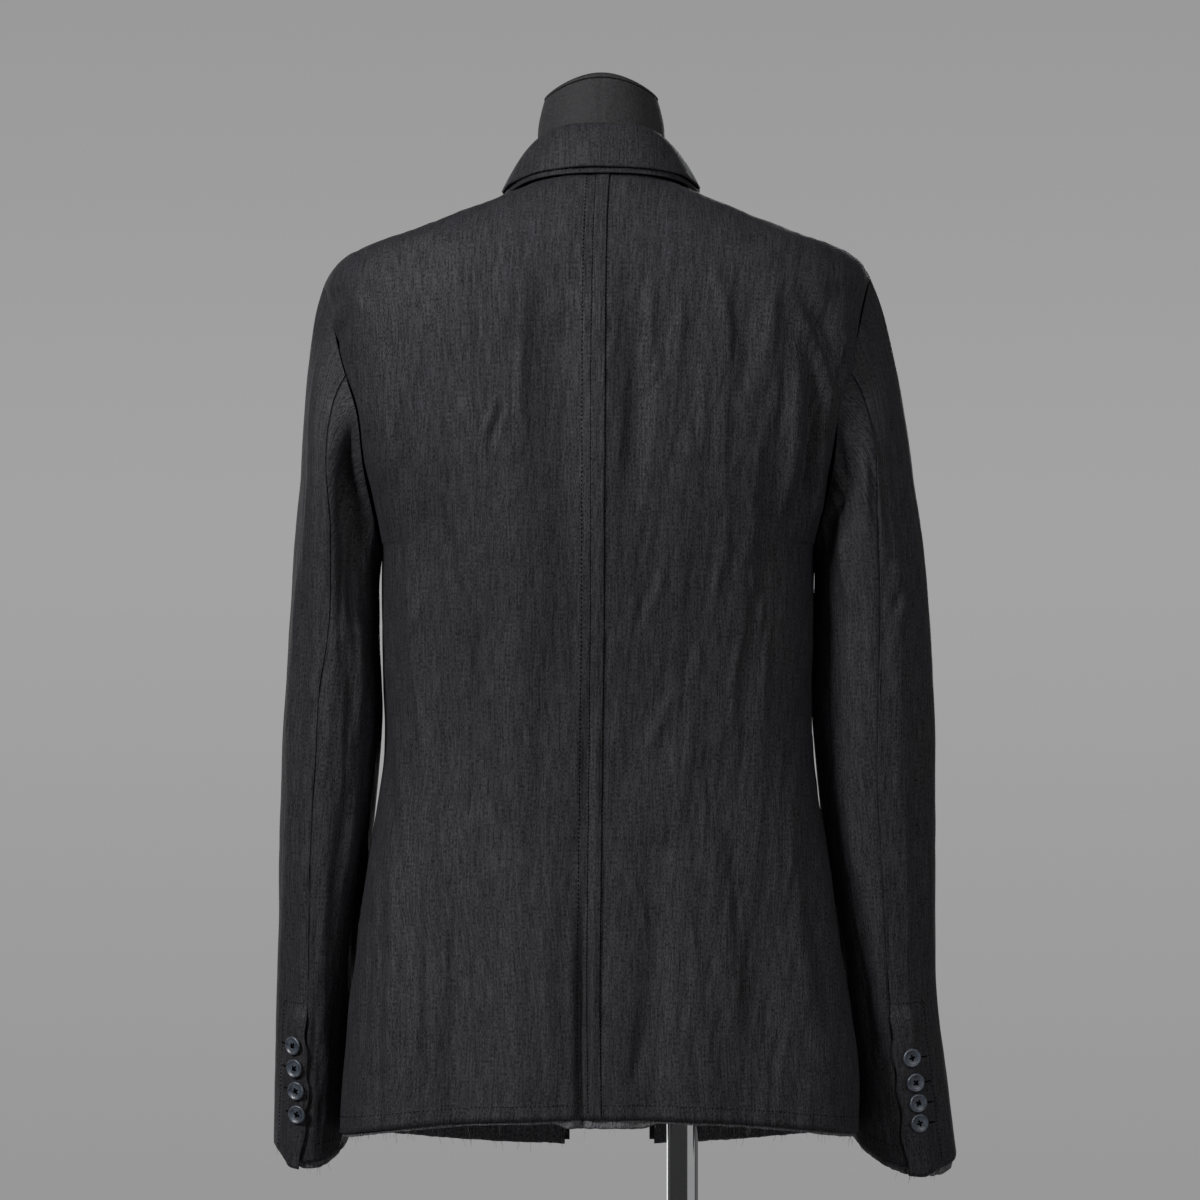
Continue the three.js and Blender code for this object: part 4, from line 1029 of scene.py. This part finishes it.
for side, label in ((1, "left"), (-1, "right")):
    clothShell(f"sleeve_{label}_top_cloth", topSleeveGrid(side), side, suitCloth,
               f"sleeve_{label}_top", grain=0.5)
    clothShell(f"sleeve_{label}_under_cloth", underSleeveGrid(side), side, suitCloth,
               f"sleeve_{label}_under", grain=0.5)
    rows = np.linspace(ventRow, cuffRow, underlapSet["rows"])[:, None]
    reach = underlapSet["width"] * np.linspace(0, 1, underlapSet["columns"])[None, :]
    grid, _ = sleeveCloth(side, rows, seamAngle(side, rows) + underlapSet["lap"] - reach,
                          underlapSet["inside"])
    clothShell(f"vent_{label}_cloth", grid, -side, suitCloth, f"vent_{label}",
               underlapSet["wall"])
print("sleeves made")

# Collar

collarSet = {"columns": 150, "rows": 26, "roll": 2.2, "end": 8, "wall": 1.6}
underCollarSet = {
    "columns": 120, "rows": 14, "top": 0.68, "reach": 0.08, "end": 5.7, "inside": 2.9, "wall": 0.9}
standCollarSet = {"columns": 90, "rows": 8, "end": 4.6, "lift": 0.45, "inside": 2.45, "wall": 1.2}


def collarPoint(along, down):
    side = np.where(along < 0, -1, 1)
    size = np.abs(along)
    at = {key: column(collarTable, key, size) for key in collarTable}
    seam = -2 * (1 - smooth(0, 3, size))
    fold = stack(side * at["x"] + seam, at["y"], at["z"])
    angle = np.maximum(at["angle"], 0)
    edge = np.zeros(fold.shape)
    for one in (1, -1):
        p = bodyPoint(one, at["row"], angle)
        n = outward(lambda u, v: bodyPoint(one, u, v), np.minimum(at["row"], neckRow - 0.02),
                    np.maximum(angle, 0.5), one)
        edge = np.where((side == one)[..., None], p + n * collarLift, edge)
    out = (np.maximum(down, 0) ** 0.8)[..., None]
    fall = np.maximum(down, 0) ** 1.25
    p = fold + (edge - fold) * out
    p[..., 2] = fold[..., 2] + (edge[..., 2] - fold[..., 2]) * fall
    return p


def collarNormal(along, down):
    middle = np.clip(down, 0.12, 1)
    alongU = collarPoint(along + 0.1, middle) - collarPoint(along - 0.1, middle)
    alongV = collarPoint(along, middle + 0.05) - collarPoint(along, middle - 0.05)
    return unit(np.cross(alongU, alongV))


# The fall, its top rolled over towards the neck
def collarGrid():
    down = np.linspace(0, 1, collarSet["rows"])[:, None]
    along = np.linspace(-collarSet["end"], collarSet["end"], collarSet["columns"] + 1)[None, :]
    along, down = np.broadcast_arrays(along, down)
    p, normal = collarPoint(along, down), collarNormal(along, down)
    wave = 0.5 * np.sin(along * 2.3 + 1) * down + 0.35 * np.sin(along * 5.1) * down
    grid = p + normal * wave[..., None]
    turns = np.radians([75, 50, 25])[:, None, None]
    top, topNormal = grid[0], normal[0]
    roll = top - topNormal * collarSet["roll"] * (1 - np.cos(turns))
    roll[..., 2] -= 0.4 * collarSet["roll"] * np.sin(turns)[..., 0]
    return np.concatenate([roll, grid])


def underCollarGrid():
    size = underCollarSet
    down = np.linspace(size["top"], 1 + size["reach"], size["rows"])[:, None]
    along = np.linspace(-size["end"], size["end"], size["columns"])[None, :]
    along, down = np.broadcast_arrays(along, down)
    return collarPoint(along, down) - collarNormal(along, down) * size["inside"]


def collarStandGrid():
    size = standCollarSet
    along = np.linspace(-size["end"], size["end"], size["columns"])
    side = np.where(along < 0, -1, 1)
    turn = np.abs(along) / size["end"]
    row = np.full(len(along), float(neckRow))
    low = np.zeros((len(along), 3))
    for one in (1, -1):
        at = bodyPoint(one, row, turn * openAngle(one, row))
        low = np.where((side == one)[:, None], at, low)
    low[:, 2] += size["lift"]
    fold = np.zeros(len(along))
    high = collarPoint(along, fold) - collarNormal(along, fold) * size["inside"]
    return np.stack([low + (high - low) * t for t in np.linspace(0, 1, size["rows"])])


clothShell("collar_fall_cloth", collarGrid(), -1, suitCloth, "collar_fall",
           collarSet["wall"])
clothShell("collar_under_cloth", underCollarGrid(), -1, suitCloth, "collar_under",
           underCollarSet["wall"])
clothShell("collar_stand_cloth", collarStandGrid(), 1, suitCloth, "collar_stand",
           standCollarSet["wall"])
print("collar made")

# The lapped strip on the centre back seam

stripSet = {"half": 5, "top": 24.5, "lift": 1.05, "crown": 0.15, "rows": 230, "columns": 12, "wall": 0.9}


def stripAt(rows, offset, lift):
    rows, offset = np.broadcast_arrays(rows, offset)
    p, n = np.zeros((*rows.shape, 3)), np.zeros((*rows.shape, 3))
    for one in (1, -1):
        ring = bodyRing(one, rows)
        at, normal = bodyCloth(one, rows, angleAt(np.abs(offset) / ring["half"], ring["box"]), lift)
        here = ((offset >= 0) if one > 0 else (offset < 0))[..., None]
        p, n = np.where(here, at, p), np.where(here, normal, n)
    return p, n


rows = np.linspace(0, stripSet["top"], stripSet["rows"])[:, None]
offset = np.linspace(-stripSet["half"], stripSet["half"], stripSet["columns"] + 1)[None, :]
crown = stripSet["lift"] + stripSet["crown"] * np.cos(offset / stripSet["half"] * np.pi / 2)
grid, _ = stripAt(rows, offset, np.broadcast_to(crown, np.broadcast(rows, offset).shape))
clothShell("back_seam_strip_cloth", grid, 1, suitCloth, "back_seam_strip",
           stripSet["wall"])
print("back strip made")

# Raw strips inside the hem and cuffs, with frayed threads

rawSet = {"top": 0.42, "drop": -0.06, "longer": 0.11, "rows": 14, "seed": 5, "ragged": 0.01, "threads": 150,
          "threadLength": (2, 9), "threadRadius": 0.13}
rawDice = random.Random(rawSet["seed"])
frayRoots = []


def raggedDrop(count, drop):
    values = np.array([rawDice.gauss(0, 1) for _ in range(count)])
    values = (values + np.roll(values, 1) * 0.8 + np.roll(values, 2) * 0.5) / 1.5
    return drop + rawSet["ragged"] * 0.5 * values


def hemStrip(name, node, parts):
    grids = []
    for side, low, high, count in parts:
        angle = np.linspace(low, high, count)[None, :]
        t = np.linspace(0, 1, rawSet["rows"])[:, None]
        # it hangs lowest beside the centre seam
        longer = smooth(8, 5, angle) if side > 0 else smooth(13, 9, angle)
        drop = raggedDrop(count, rawSet["drop"])[None, :] - rawSet["longer"] * longer
        row = rawSet["top"] + (drop - rawSet["top"]) * t
        grid, normal = bodyCloth(side, row, np.broadcast_to(angle, row.shape), -2.5)
        frayRoots.extend(zip(grid[-1], normal[-1]))
        grids.append(grid)
    clothShell(name, np.concatenate(grids, axis=1), parts[0][0], rawCloth, node, 0.7)


hemStrip("hem_edge_back_cloth", "hem_edge_back", [(-1, 88, 0.6, 170), (1, 0, 88, 170)])
for side, label in ((1, "left"), (-1, "right")):
    high = float(openAngle(side, 0.0))
    hemStrip(f"hem_edge_front_{label}_cloth", f"hem_edge_front_{label}", [(side, 92, high - 1, 130)])
    angle = np.linspace(0, 360, 161)[None, :-1]
    t = np.linspace(0, 1, 12)[:, None]
    row = 8.6 + (raggedDrop(160, 9.09)[None, :] - 8.6) * t
    grid, normal = sleeveCloth(side, row, np.broadcast_to(angle, row.shape), -3.9)
    frayRoots.extend(list(zip(grid[-1], normal[-1]))[::2])
    clothShell(f"cuff_edge_{label}_cloth", grid, side, rawCloth, f"cuff_edge_{label}", 0.7,
               closed=True)


# Threads as thin three-sided tapers that hang from the raw edges
def frayThreads():
    points, faces = [], []
    for _ in range(rawSet["threads"]):
        root, normal = rawDice.choice(frayRoots)
        length = rawDice.uniform(*rawSet["threadLength"])
        lean = Vector((rawDice.gauss(0, 0.35), rawDice.gauss(0, 0.2), -1)).normalized()
        start = Vector(root)
        sideways = lean.cross(Vector(normal)).normalized()
        other = lean.cross(sideways)
        first = len(points)
        for k in range(5):
            t = k / 4
            curl = sideways * math.sin(t * 2.6) * length * 0.12
            centre = start + lean * length * t + curl + Vector((0, 0, 1.5 * (1 - t)))
            for m in range(3):
                a = m * 2 * math.pi / 3
                r = rawSet["threadRadius"] * (1 - 0.6 * t)
                points.append(centre + (sideways * math.cos(a) + other * math.sin(a)) * r)
        for k in range(4):
            for m in range(3):
                a, b = first + 3 * k + m, first + 3 * k + (m + 1) % 3
                faces.append((a, b, b + 3, a + 3))
    meshObject("frayed_threads", points, faces, frayThread, None)


frayThreads()
print("raw edges made")

# Stitching

stitchSet = {"length": 2.6, "gap": 0.5, "radius": 0.5}


# Small spindles along a line of places on the cloth
def stitchRun(lines, name, size=stitchSet):
    points, faces = [], []
    for line, normals in lines:
        lengths = np.concatenate([[0], np.cumsum(np.linalg.norm(np.diff(line, axis=0), axis=-1))])
        pitch = size["length"] + size["gap"]
        for start in np.arange(0.5, lengths[-1] - size["length"], pitch):
            ends = [np.array([np.interp(s, lengths, line[:, k]) for k in range(3)])
                    for s in (start, start + size["length"])]
            near = min(int(np.searchsorted(lengths, start)), len(normals) - 1)
            up, along = normals[near], unit(ends[1] - ends[0])
            across = np.cross(up, along)
            middle = (ends[0] + ends[1]) / 2
            r, first = size["radius"], len(points)
            points += [ends[0] - up * 0.1, middle + across * r, middle + up * r * 1.2,
                       middle - across * r, middle - up * r, ends[1] - up * 0.1]
            for a, b in ((1, 2), (2, 3), (3, 4), (4, 1)):
                faces += [(first, first + b, first + a), (first + 5, first + a, first + b)]
    return meshObject(name, points, faces, seamThread, None)


# Black edge stitching along both edges of the strip, laid almost without gaps: its dark line is partly real
# thread and partly painted shade standing in for the shaded gaps at the strip's edges
edgeStitchAndShade = {"out": 5.3, "lift": 0.75, "length": 2.8, "gap": 0.1, "radius": 0.5}
besideStitch = {"out": 12.6, "lift": 0.15, "length": 1.9, "gap": 1.5, "radius": 0.6}
rowLine = np.linspace(0.1, 24.3, 260)


def seamLine(stitch, side=1):
    out, lift = (np.full(len(rowLine), stitch[key]) for key in ("out", "lift"))
    return stripAt(rowLine, side * out, lift)


stitchRun([seamLine(edgeStitchAndShade, side) for side in (1, -1)], "back_seam_edge_stitching_and_shade", edgeStitchAndShade)
stitchRun([seamLine(besideStitch)], "back_seam_stitching", besideStitch)

hemLines = []
for side in (1, -1):
    for low, high in ((1, 89), (91, float(openAngle(side, 0.0)) - 2)):
        angle = np.linspace(low, high, 160)
        hemLines.append(bodyCloth(side, np.full(160, 0.27), angle, 0.1))
    hemLines.append(sleeveCloth(side, np.full(110, 8.78), np.linspace(96, 244, 110), 0.1))
stitchRun(hemLines, "hem_stitching", {"length": 2.2, "gap": 1.4, "radius": 0.36})

ventLines = []
for side in (1, -1):
    across = np.linspace(0.79, 0.985, 30)
    ventLines.append(topSleeveAt(side, np.full(30, ventRow - 0.02), across, 0.15))
    down = np.linspace(ventRow - 0.02, 8.95, 60)
    ventLines.append(topSleeveAt(side, down, np.full(60, 0.79), 0.15))
stitchRun(ventLines, "vent_stitching", {"length": 2.2, "gap": 1.0, "radius": 0.42})
print("stitching made")

# Buttons with four holes, and their buttonholes

buttonSet = {"radius": 7.5, "depth": 3, "rim": 1.5, "holeRadius": 0.95, "holeAt": 1.85, "sides": 64}
frontButtonSet = {**buttonSet, "radius": 10, "depth": 3.6, "rim": 2, "holeRadius": 1.15, "holeAt": 2.3}
cuffButtons = {
    1: table("row inset", [[7.56, 9.7], [7.84, 6.4], [8.12, 3.7], [8.41, 1.3]]),
    -1: table("row inset", [[7.7, 12.8], [8, 13.3], [8.24, 13.3], [8.47, 12.1]]),
}


def spun(profile, sides):
    points, faces = [], []
    for r, z in profile:
        for k in range(sides):
            a = 2 * math.pi * k / sides
            points.append((r * math.cos(a), r * math.sin(a), z))
    for j in range(len(profile) - 1):
        for k in range(sides):
            a, b = j * sides + k, j * sides + (k + 1) % sides
            faces.append((a, b, b + sides, a + sides))
    faces.append(tuple(range(sides))[::-1])
    top = (len(profile) - 1) * sides
    faces.append(tuple(range(top, top + sides)))
    return points, faces


def buttonMesh(name, size):
    r, d, rim = size["radius"], size["depth"], size["rim"]
    profile = [(r * 0.78, 0), (r * 0.9, d * 0.15), (r * 0.985, d * 0.45), (r, d * 0.62), (r * 0.98, d * 0.8),
               (r - rim * 0.35, d * 0.95), (r - rim * 0.6, d), (r - rim * 0.95, d * 0.97),
               (r - rim * 1.3, d * 0.8), (r - rim * 1.7, d * 0.7), (r * 0.25, d * 0.67)]
    points, faces = spun(profile, size["sides"])
    disc = bpy.data.meshes.new(name)
    disc.from_pydata([Vector(p) * mm for p in points], [], faces)
    holder = bpy.data.objects.new(name, disc)
    bpy.context.scene.collection.objects.link(holder)
    drills = []
    for k in range(4):
        a = math.pi / 4 + k * math.pi / 2
        centre = Vector((math.cos(a), math.sin(a), 0)) * size["holeAt"] * mm
        drill = bpy.data.meshes.new("drill")
        p, f = spun([(size["holeRadius"], -2), (size["holeRadius"], d + 2)], 20)
        drill.from_pydata([Vector(q) * mm + centre for q in p], [], f)
        tool = bpy.data.objects.new("drill", drill)
        bpy.context.scene.collection.objects.link(tool)
        cut = holder.modifiers.new("hole", "BOOLEAN")
        cut.object, cut.operation, cut.solver = tool, "DIFFERENCE", "EXACT"
        drills.append(tool)
    bpy.context.view_layer.update()
    shape = bpy.data.meshes.new_from_object(holder.evaluated_get(bpy.context.evaluated_depsgraph_get()))
    for tool in [*drills, holder]:
        bpy.data.objects.remove(tool)
    shape.materials.clear()
    shape.materials.append(buttonHorn)
    shape.polygons.foreach_set("use_smooth", [True] * len(shape.polygons))
    shape.set_sharp_from_angle(angle=math.radians(40))
    return shape


def threadMesh(name, size):
    points, faces = [], []
    for turn in (45, -45):
        for shift in (-0.35, 0.35):
            a = math.radians(turn)
            along, across = Vector((math.cos(a), math.sin(a), 0)), Vector((-math.sin(a), math.cos(a), 0))
            first = len(points)
            for k in range(9):
                t = k / 4 - 1
                height = size["depth"] * (0.67 + 0.34 * (1 - t ** 4))
                centre = along * t * size["holeAt"] + across * shift + Vector((0, 0, height))
                for m in range(6):
                    b = m * math.pi / 3
                    points.append(centre + across * 0.32 * math.cos(b) + Vector((0, 0, 0.32 * math.sin(b))))
            for k in range(8):
                for m in range(6):
                    a0, b0 = first + 6 * k + m, first + 6 * k + (m + 1) % 6
                    faces.append((a0, b0, b0 + 6, a0 + 6))
    mesh = bpy.data.meshes.new(name)
    mesh.from_pydata([p * mm for p in points], [], faces)
    mesh.materials.append(seamThread)
    mesh.polygons.foreach_set("use_smooth", [True] * len(mesh.polygons))
    return mesh


def placeButton(name, node, shape, thread, p, normal, turn):
    up = Vector(normal)
    matrix = Matrix.Translation(Vector(p) * mm) @ up.to_track_quat("Z", "Y").to_matrix().to_4x4()
    matrix = matrix @ Matrix.Rotation(math.radians(turn), 4, "Z")
    for piece, mesh, replaced in ((name, shape, node), (name + "_thread", thread, None)):
        data = mesh.copy()
        data.transform(matrix)
        linked(bpy.data.objects.new(piece, data), replaced)


sleeveShape, sleeveThread = buttonMesh("sleeveButton", buttonSet), threadMesh("sleeveThread", buttonSet)
frontShape, frontThread = buttonMesh("frontButton", frontButtonSet), threadMesh("frontThread", frontButtonSet)
buttonTurns = random.Random(9)
holeLines = []
for side, label in ((1, "left"), (-1, "right")):
    for i, (row, inset) in enumerate(zip(cuffButtons[side]["row"], cuffButtons[side]["inset"])):
        angle = float(seamAngle(side, row)) - inset / cuffPerDegree
        p, n = sleeveCloth(side, np.array([row]), np.array([angle]), ventLift + 0.3)
        placeButton(f"sleeve_button_{label}_{i + 1}_disc", f"sleeve_button_{label}_{i + 1}", sleeveShape,
                    sleeveThread, p[0], n[0], buttonTurns.uniform(-30, 30))
        # the worked hole, from under the button outwards
        out = np.linspace(angle - 5, angle - 21, 26)
        zigzag = 0.012 * np.where(np.arange(26) % 2, 1, -1)
        for start in (0, 0.002):
            holeLines.append(sleeveCloth(side, row + zigzag + start, out, ventLift + 0.2))
for i, height in enumerate([1003, 903]):
    row = float(np.interp(height, bodyTable["front"], np.arange(26)))
    angle = float(openAngle(-1, row, 17))
    p, n = bodyCloth(-1, np.array([row]), np.array([angle]), 0.5)
    placeButton(f"front_button_{i + 1}_disc", f"front_button_{i + 1}", frontShape, frontThread,
                p[0], n[0], 12 * i)
stitchRun(holeLines, "buttonhole_stitching", {"length": 1.0, "gap": 0.1, "radius": 0.42})
print("buttons made")

# The form

formSet = {"columns": 144, "rows": 26, "rowsEach": 6, "seamDepth": 0.7, "seamWidth": 1.1}


def formGrid():
    last = formSet["rows"]
    rows = np.linspace(0, last, last * formSet["rowsEach"] + 1)[:, None]
    turn = np.arange(formSet["columns"])[None, :] * 360 / formSet["columns"]
    side = np.where(turn <= 180, 1, -1)
    angle = np.where(turn <= 180, turn, 360 - turn)
    ring = {key: column(formTable, key, rows) for key in formTable}
    ring["side"] = ring["side"] + np.where(side > 0, ring["rise"], 0)
    grid = ringPoint(ring, side, angle)
    seam = np.exp(-((grid[..., 0] / formSet["seamWidth"]) ** 2))
    grid[..., 1] -= formSet["seamDepth"] * seam * np.sign(np.cos(np.radians(turn)))
    return grid


def cappedRings(name, grid, material, node):
    rows, count = grid.shape[:2]
    points = [*grid.reshape(-1, 3), grid[0].mean(axis=0), grid[-1].mean(axis=0)]
    faces = gridFaces(rows - 1, count, 1, closed=True)
    for k in range(count):
        a, b = k, (k + 1) % count
        faces.append((rows * count, a, b))
        faces.append((rows * count + 1, (rows - 1) * count + b, (rows - 1) * count + a))
    return meshObject(name, points, faces, material, node)


cappedRings("form_cover", formGrid(), formCover, "form_torso")

capSet = {"gap": 0.5, "rim": 0.9, "round": 3.7, "proud": 0.1, "turn": 9}


# The slanted plate over the neck's last ring
def capRing(rise, inset):
    turn = np.arange(formSet["columns"]) * 360 / formSet["columns"]
    side, angle = np.where(turn <= 180, 1, -1), np.where(turn <= 180, turn, 360 - turn)
    ring = {key: formTable[key][-1] for key in formTable}
    for key in ("side", "back", "front"):
        ring[key] += rise
    ring["half"] += capSet["proud"] - inset
    ring["backY"] += capSet["proud"] - inset
    ring["frontY"] -= capSet["proud"] - inset
    return ringPoint(ring, side, angle)


capRows = [capRing(capSet["gap"], 0.5), capRing(capSet["gap"] + 0.4, 0)]
for turn in np.radians(np.linspace(0, 90, 12)):
    inward = capSet["turn"] * (1 - math.cos(turn))
    capRows.append(capRing(capSet["gap"] + capSet["rim"] + capSet["round"] * math.sin(turn), inward))
cappedRings("neck_plate", np.stack(capRows), formCover, "neck_cap")
print("form made")

# Pole and base

standSet = {"x": -65, "y": -5, "radius": 12.5, "foot": 6.3, "top": 809.7, "base": 190, "plate": 6,
            "bevel": 1.5, "hub": 30, "hubTop": 26, "hubHeight": 40}


def spunPiece(name, profile, sides, node):
    points, faces = spun(profile, sides)
    points = [(p[0] + standSet["x"], p[1] + standSet["y"], p[2]) for p in points]
    piece = meshObject(name, points, faces, chromeSteel, node)
    piece.data.set_sharp_from_angle(angle=math.radians(30))
    return piece


s = standSet
spunPiece("pole_tube", [(s["radius"] - 0.6, s["foot"]), (s["radius"], s["foot"] + 0.6),
                        (s["radius"], s["top"] - 0.6), (s["radius"] - 0.6, s["top"])], 96, "stand_pole")
spunPiece("base_plate", [
    (s["base"] - s["bevel"], 0), (s["base"], s["bevel"]), (s["base"], s["plate"] - s["bevel"]),
    (s["base"] - s["bevel"], s["plate"]), (s["hub"] + 2, s["plate"]), (s["hub"], s["plate"] + 2),
    (s["hubTop"], s["plate"] + s["hubHeight"] - 2), (s["hubTop"] - 2, s["plate"] + s["hubHeight"]),
    (12.8, s["plate"] + s["hubHeight"])], 128, "stand_base")
print("stand made")

# Floor, backdrop light and lamps

floorHalf = 3.2
floorMesh = bpy.data.meshes.new("floor")
corners = [(x * floorHalf, y * floorHalf, 0) for x, y in ((-1, -1), (1, -1), (1, 1), (-1, 1))]
floorMesh.from_pydata(corners, [], [(0, 1, 2, 3)])
floorPaint = simpleFinish("floorPaint", (0.32, 0.32, 0.32), (0.34, 0.34, 0.34), (0.9, 1.0), 6,
                          Specular_IOR_Level=0.0)
floorMesh.materials.append(floorPaint)
floor = bpy.data.objects.new("floor", floorMesh)
floor.location = (0, 0, -0.0005)
bpy.context.scene.collection.objects.link(floor)

# The studio round the object: a lit wall behind, a pale card at one side, the rest dim.
# What the camera sees past the floor is plain and pale on every side.
studioSet = {"dim": 0.035, "wall": 0.07, "card": 0.3, "seenLow": 0.31, "seenMiddle": 0.365, "seenHigh": 0.32}
world = bpy.data.worlds.new("studio")
bpy.context.scene.world = world
world.use_nodes = True
sky = world.node_tree
sky.nodes.clear()
towards = node(sky, "ShaderNodeSeparateXYZ")
sky.links.new(node(sky, "ShaderNodeTexCoord").outputs["Generated"], towards.inputs[0])
toX, toY, toZ = towards.outputs
level = spread(sky, maths(sky, "ABSOLUTE", toZ, 0), 1, 0, 0.35, 0.6)
wall = maths(sky, "MULTIPLY", spread(sky, toY, studioSet["wall"], 0, -0.6, -0.2), level)
card = maths(sky, "MULTIPLY", spread(sky, toX, studioSet["card"], 0, -0.62, -0.56), level)
card = maths(sky, "MULTIPLY", card, spread(sky, toY, 0, 1, -0.3, -0.16))
light = maths(sky, "ADD", maths(sky, "ADD", wall, card), studioSet["dim"])
seenLow = spread(sky, toZ, studioSet["seenLow"], studioSet["seenMiddle"], -0.11, 0.0)
seenHigh = spread(sky, toZ, 0, studioSet["seenHigh"] - studioSet["seenMiddle"], 0.02, 0.11)
seen = maths(sky, "ADD", seenLow, seenHigh)
shades = []
for value in (light, seen):
    shade = node(sky, "ShaderNodeBackground", Strength=1.0)
    sky.links.new(value, shade.inputs["Color"])
    shades.append(shade)
either = node(sky, "ShaderNodeMixShader")
sky.links.new(node(sky, "ShaderNodeLightPath").outputs["Is Camera Ray"], either.inputs[0])
for i, shade in enumerate(shades):
    sky.links.new(shade.outputs[0], either.inputs[i + 1])
sky.links.new(either.outputs[0], node(sky, "ShaderNodeOutputWorld").inputs["Surface"])

lampSet = [
    {"name": "key", "place": (2.7, 2.5, 2.9), "aim": (0, 0, 1.26), "size": 0.9, "power": 32.6,
     "spread": 70},
    {"name": "fill", "place": (-2.4, 3.2, 2.4), "aim": (-0.1, 0, 1.26), "size": 1.8, "power": 10.6,
     "spread": 70},
    {"name": "frontKey", "place": (-0.5, -3.9, 1.8), "aim": (0, 0, 1.05), "size": 1.6, "power": 80},
    {"name": "frontFill", "place": (1.5, -3.9, 1.2), "aim": (0, 0, 1.0), "size": 2.4, "power": 22},
    {"name": "top", "place": (0.4, 0.9, 3.3), "aim": (0, 0, 1.3), "size": 1.0, "power": 14},
]
for lamp in lampSet:
    light = bpy.data.lights.new(lamp["name"], "AREA")
    light.shape, light.size, light.energy = "SQUARE", lamp["size"], lamp["power"]
    light.spread = math.radians(lamp.get("spread", 180))
    holder = bpy.data.objects.new(lamp["name"], light)
    holder.location = lamp["place"]
    holder.rotation_euler = (Vector(lamp["aim"]) - Vector(lamp["place"])).to_track_quat("-Z", "Y").to_euler()
    bpy.context.scene.collection.objects.link(holder)
bpy.context.scene.view_settings.view_transform = "Standard"
print("lights made")
print("cuts (width, length, area in metres):", cutSizes)
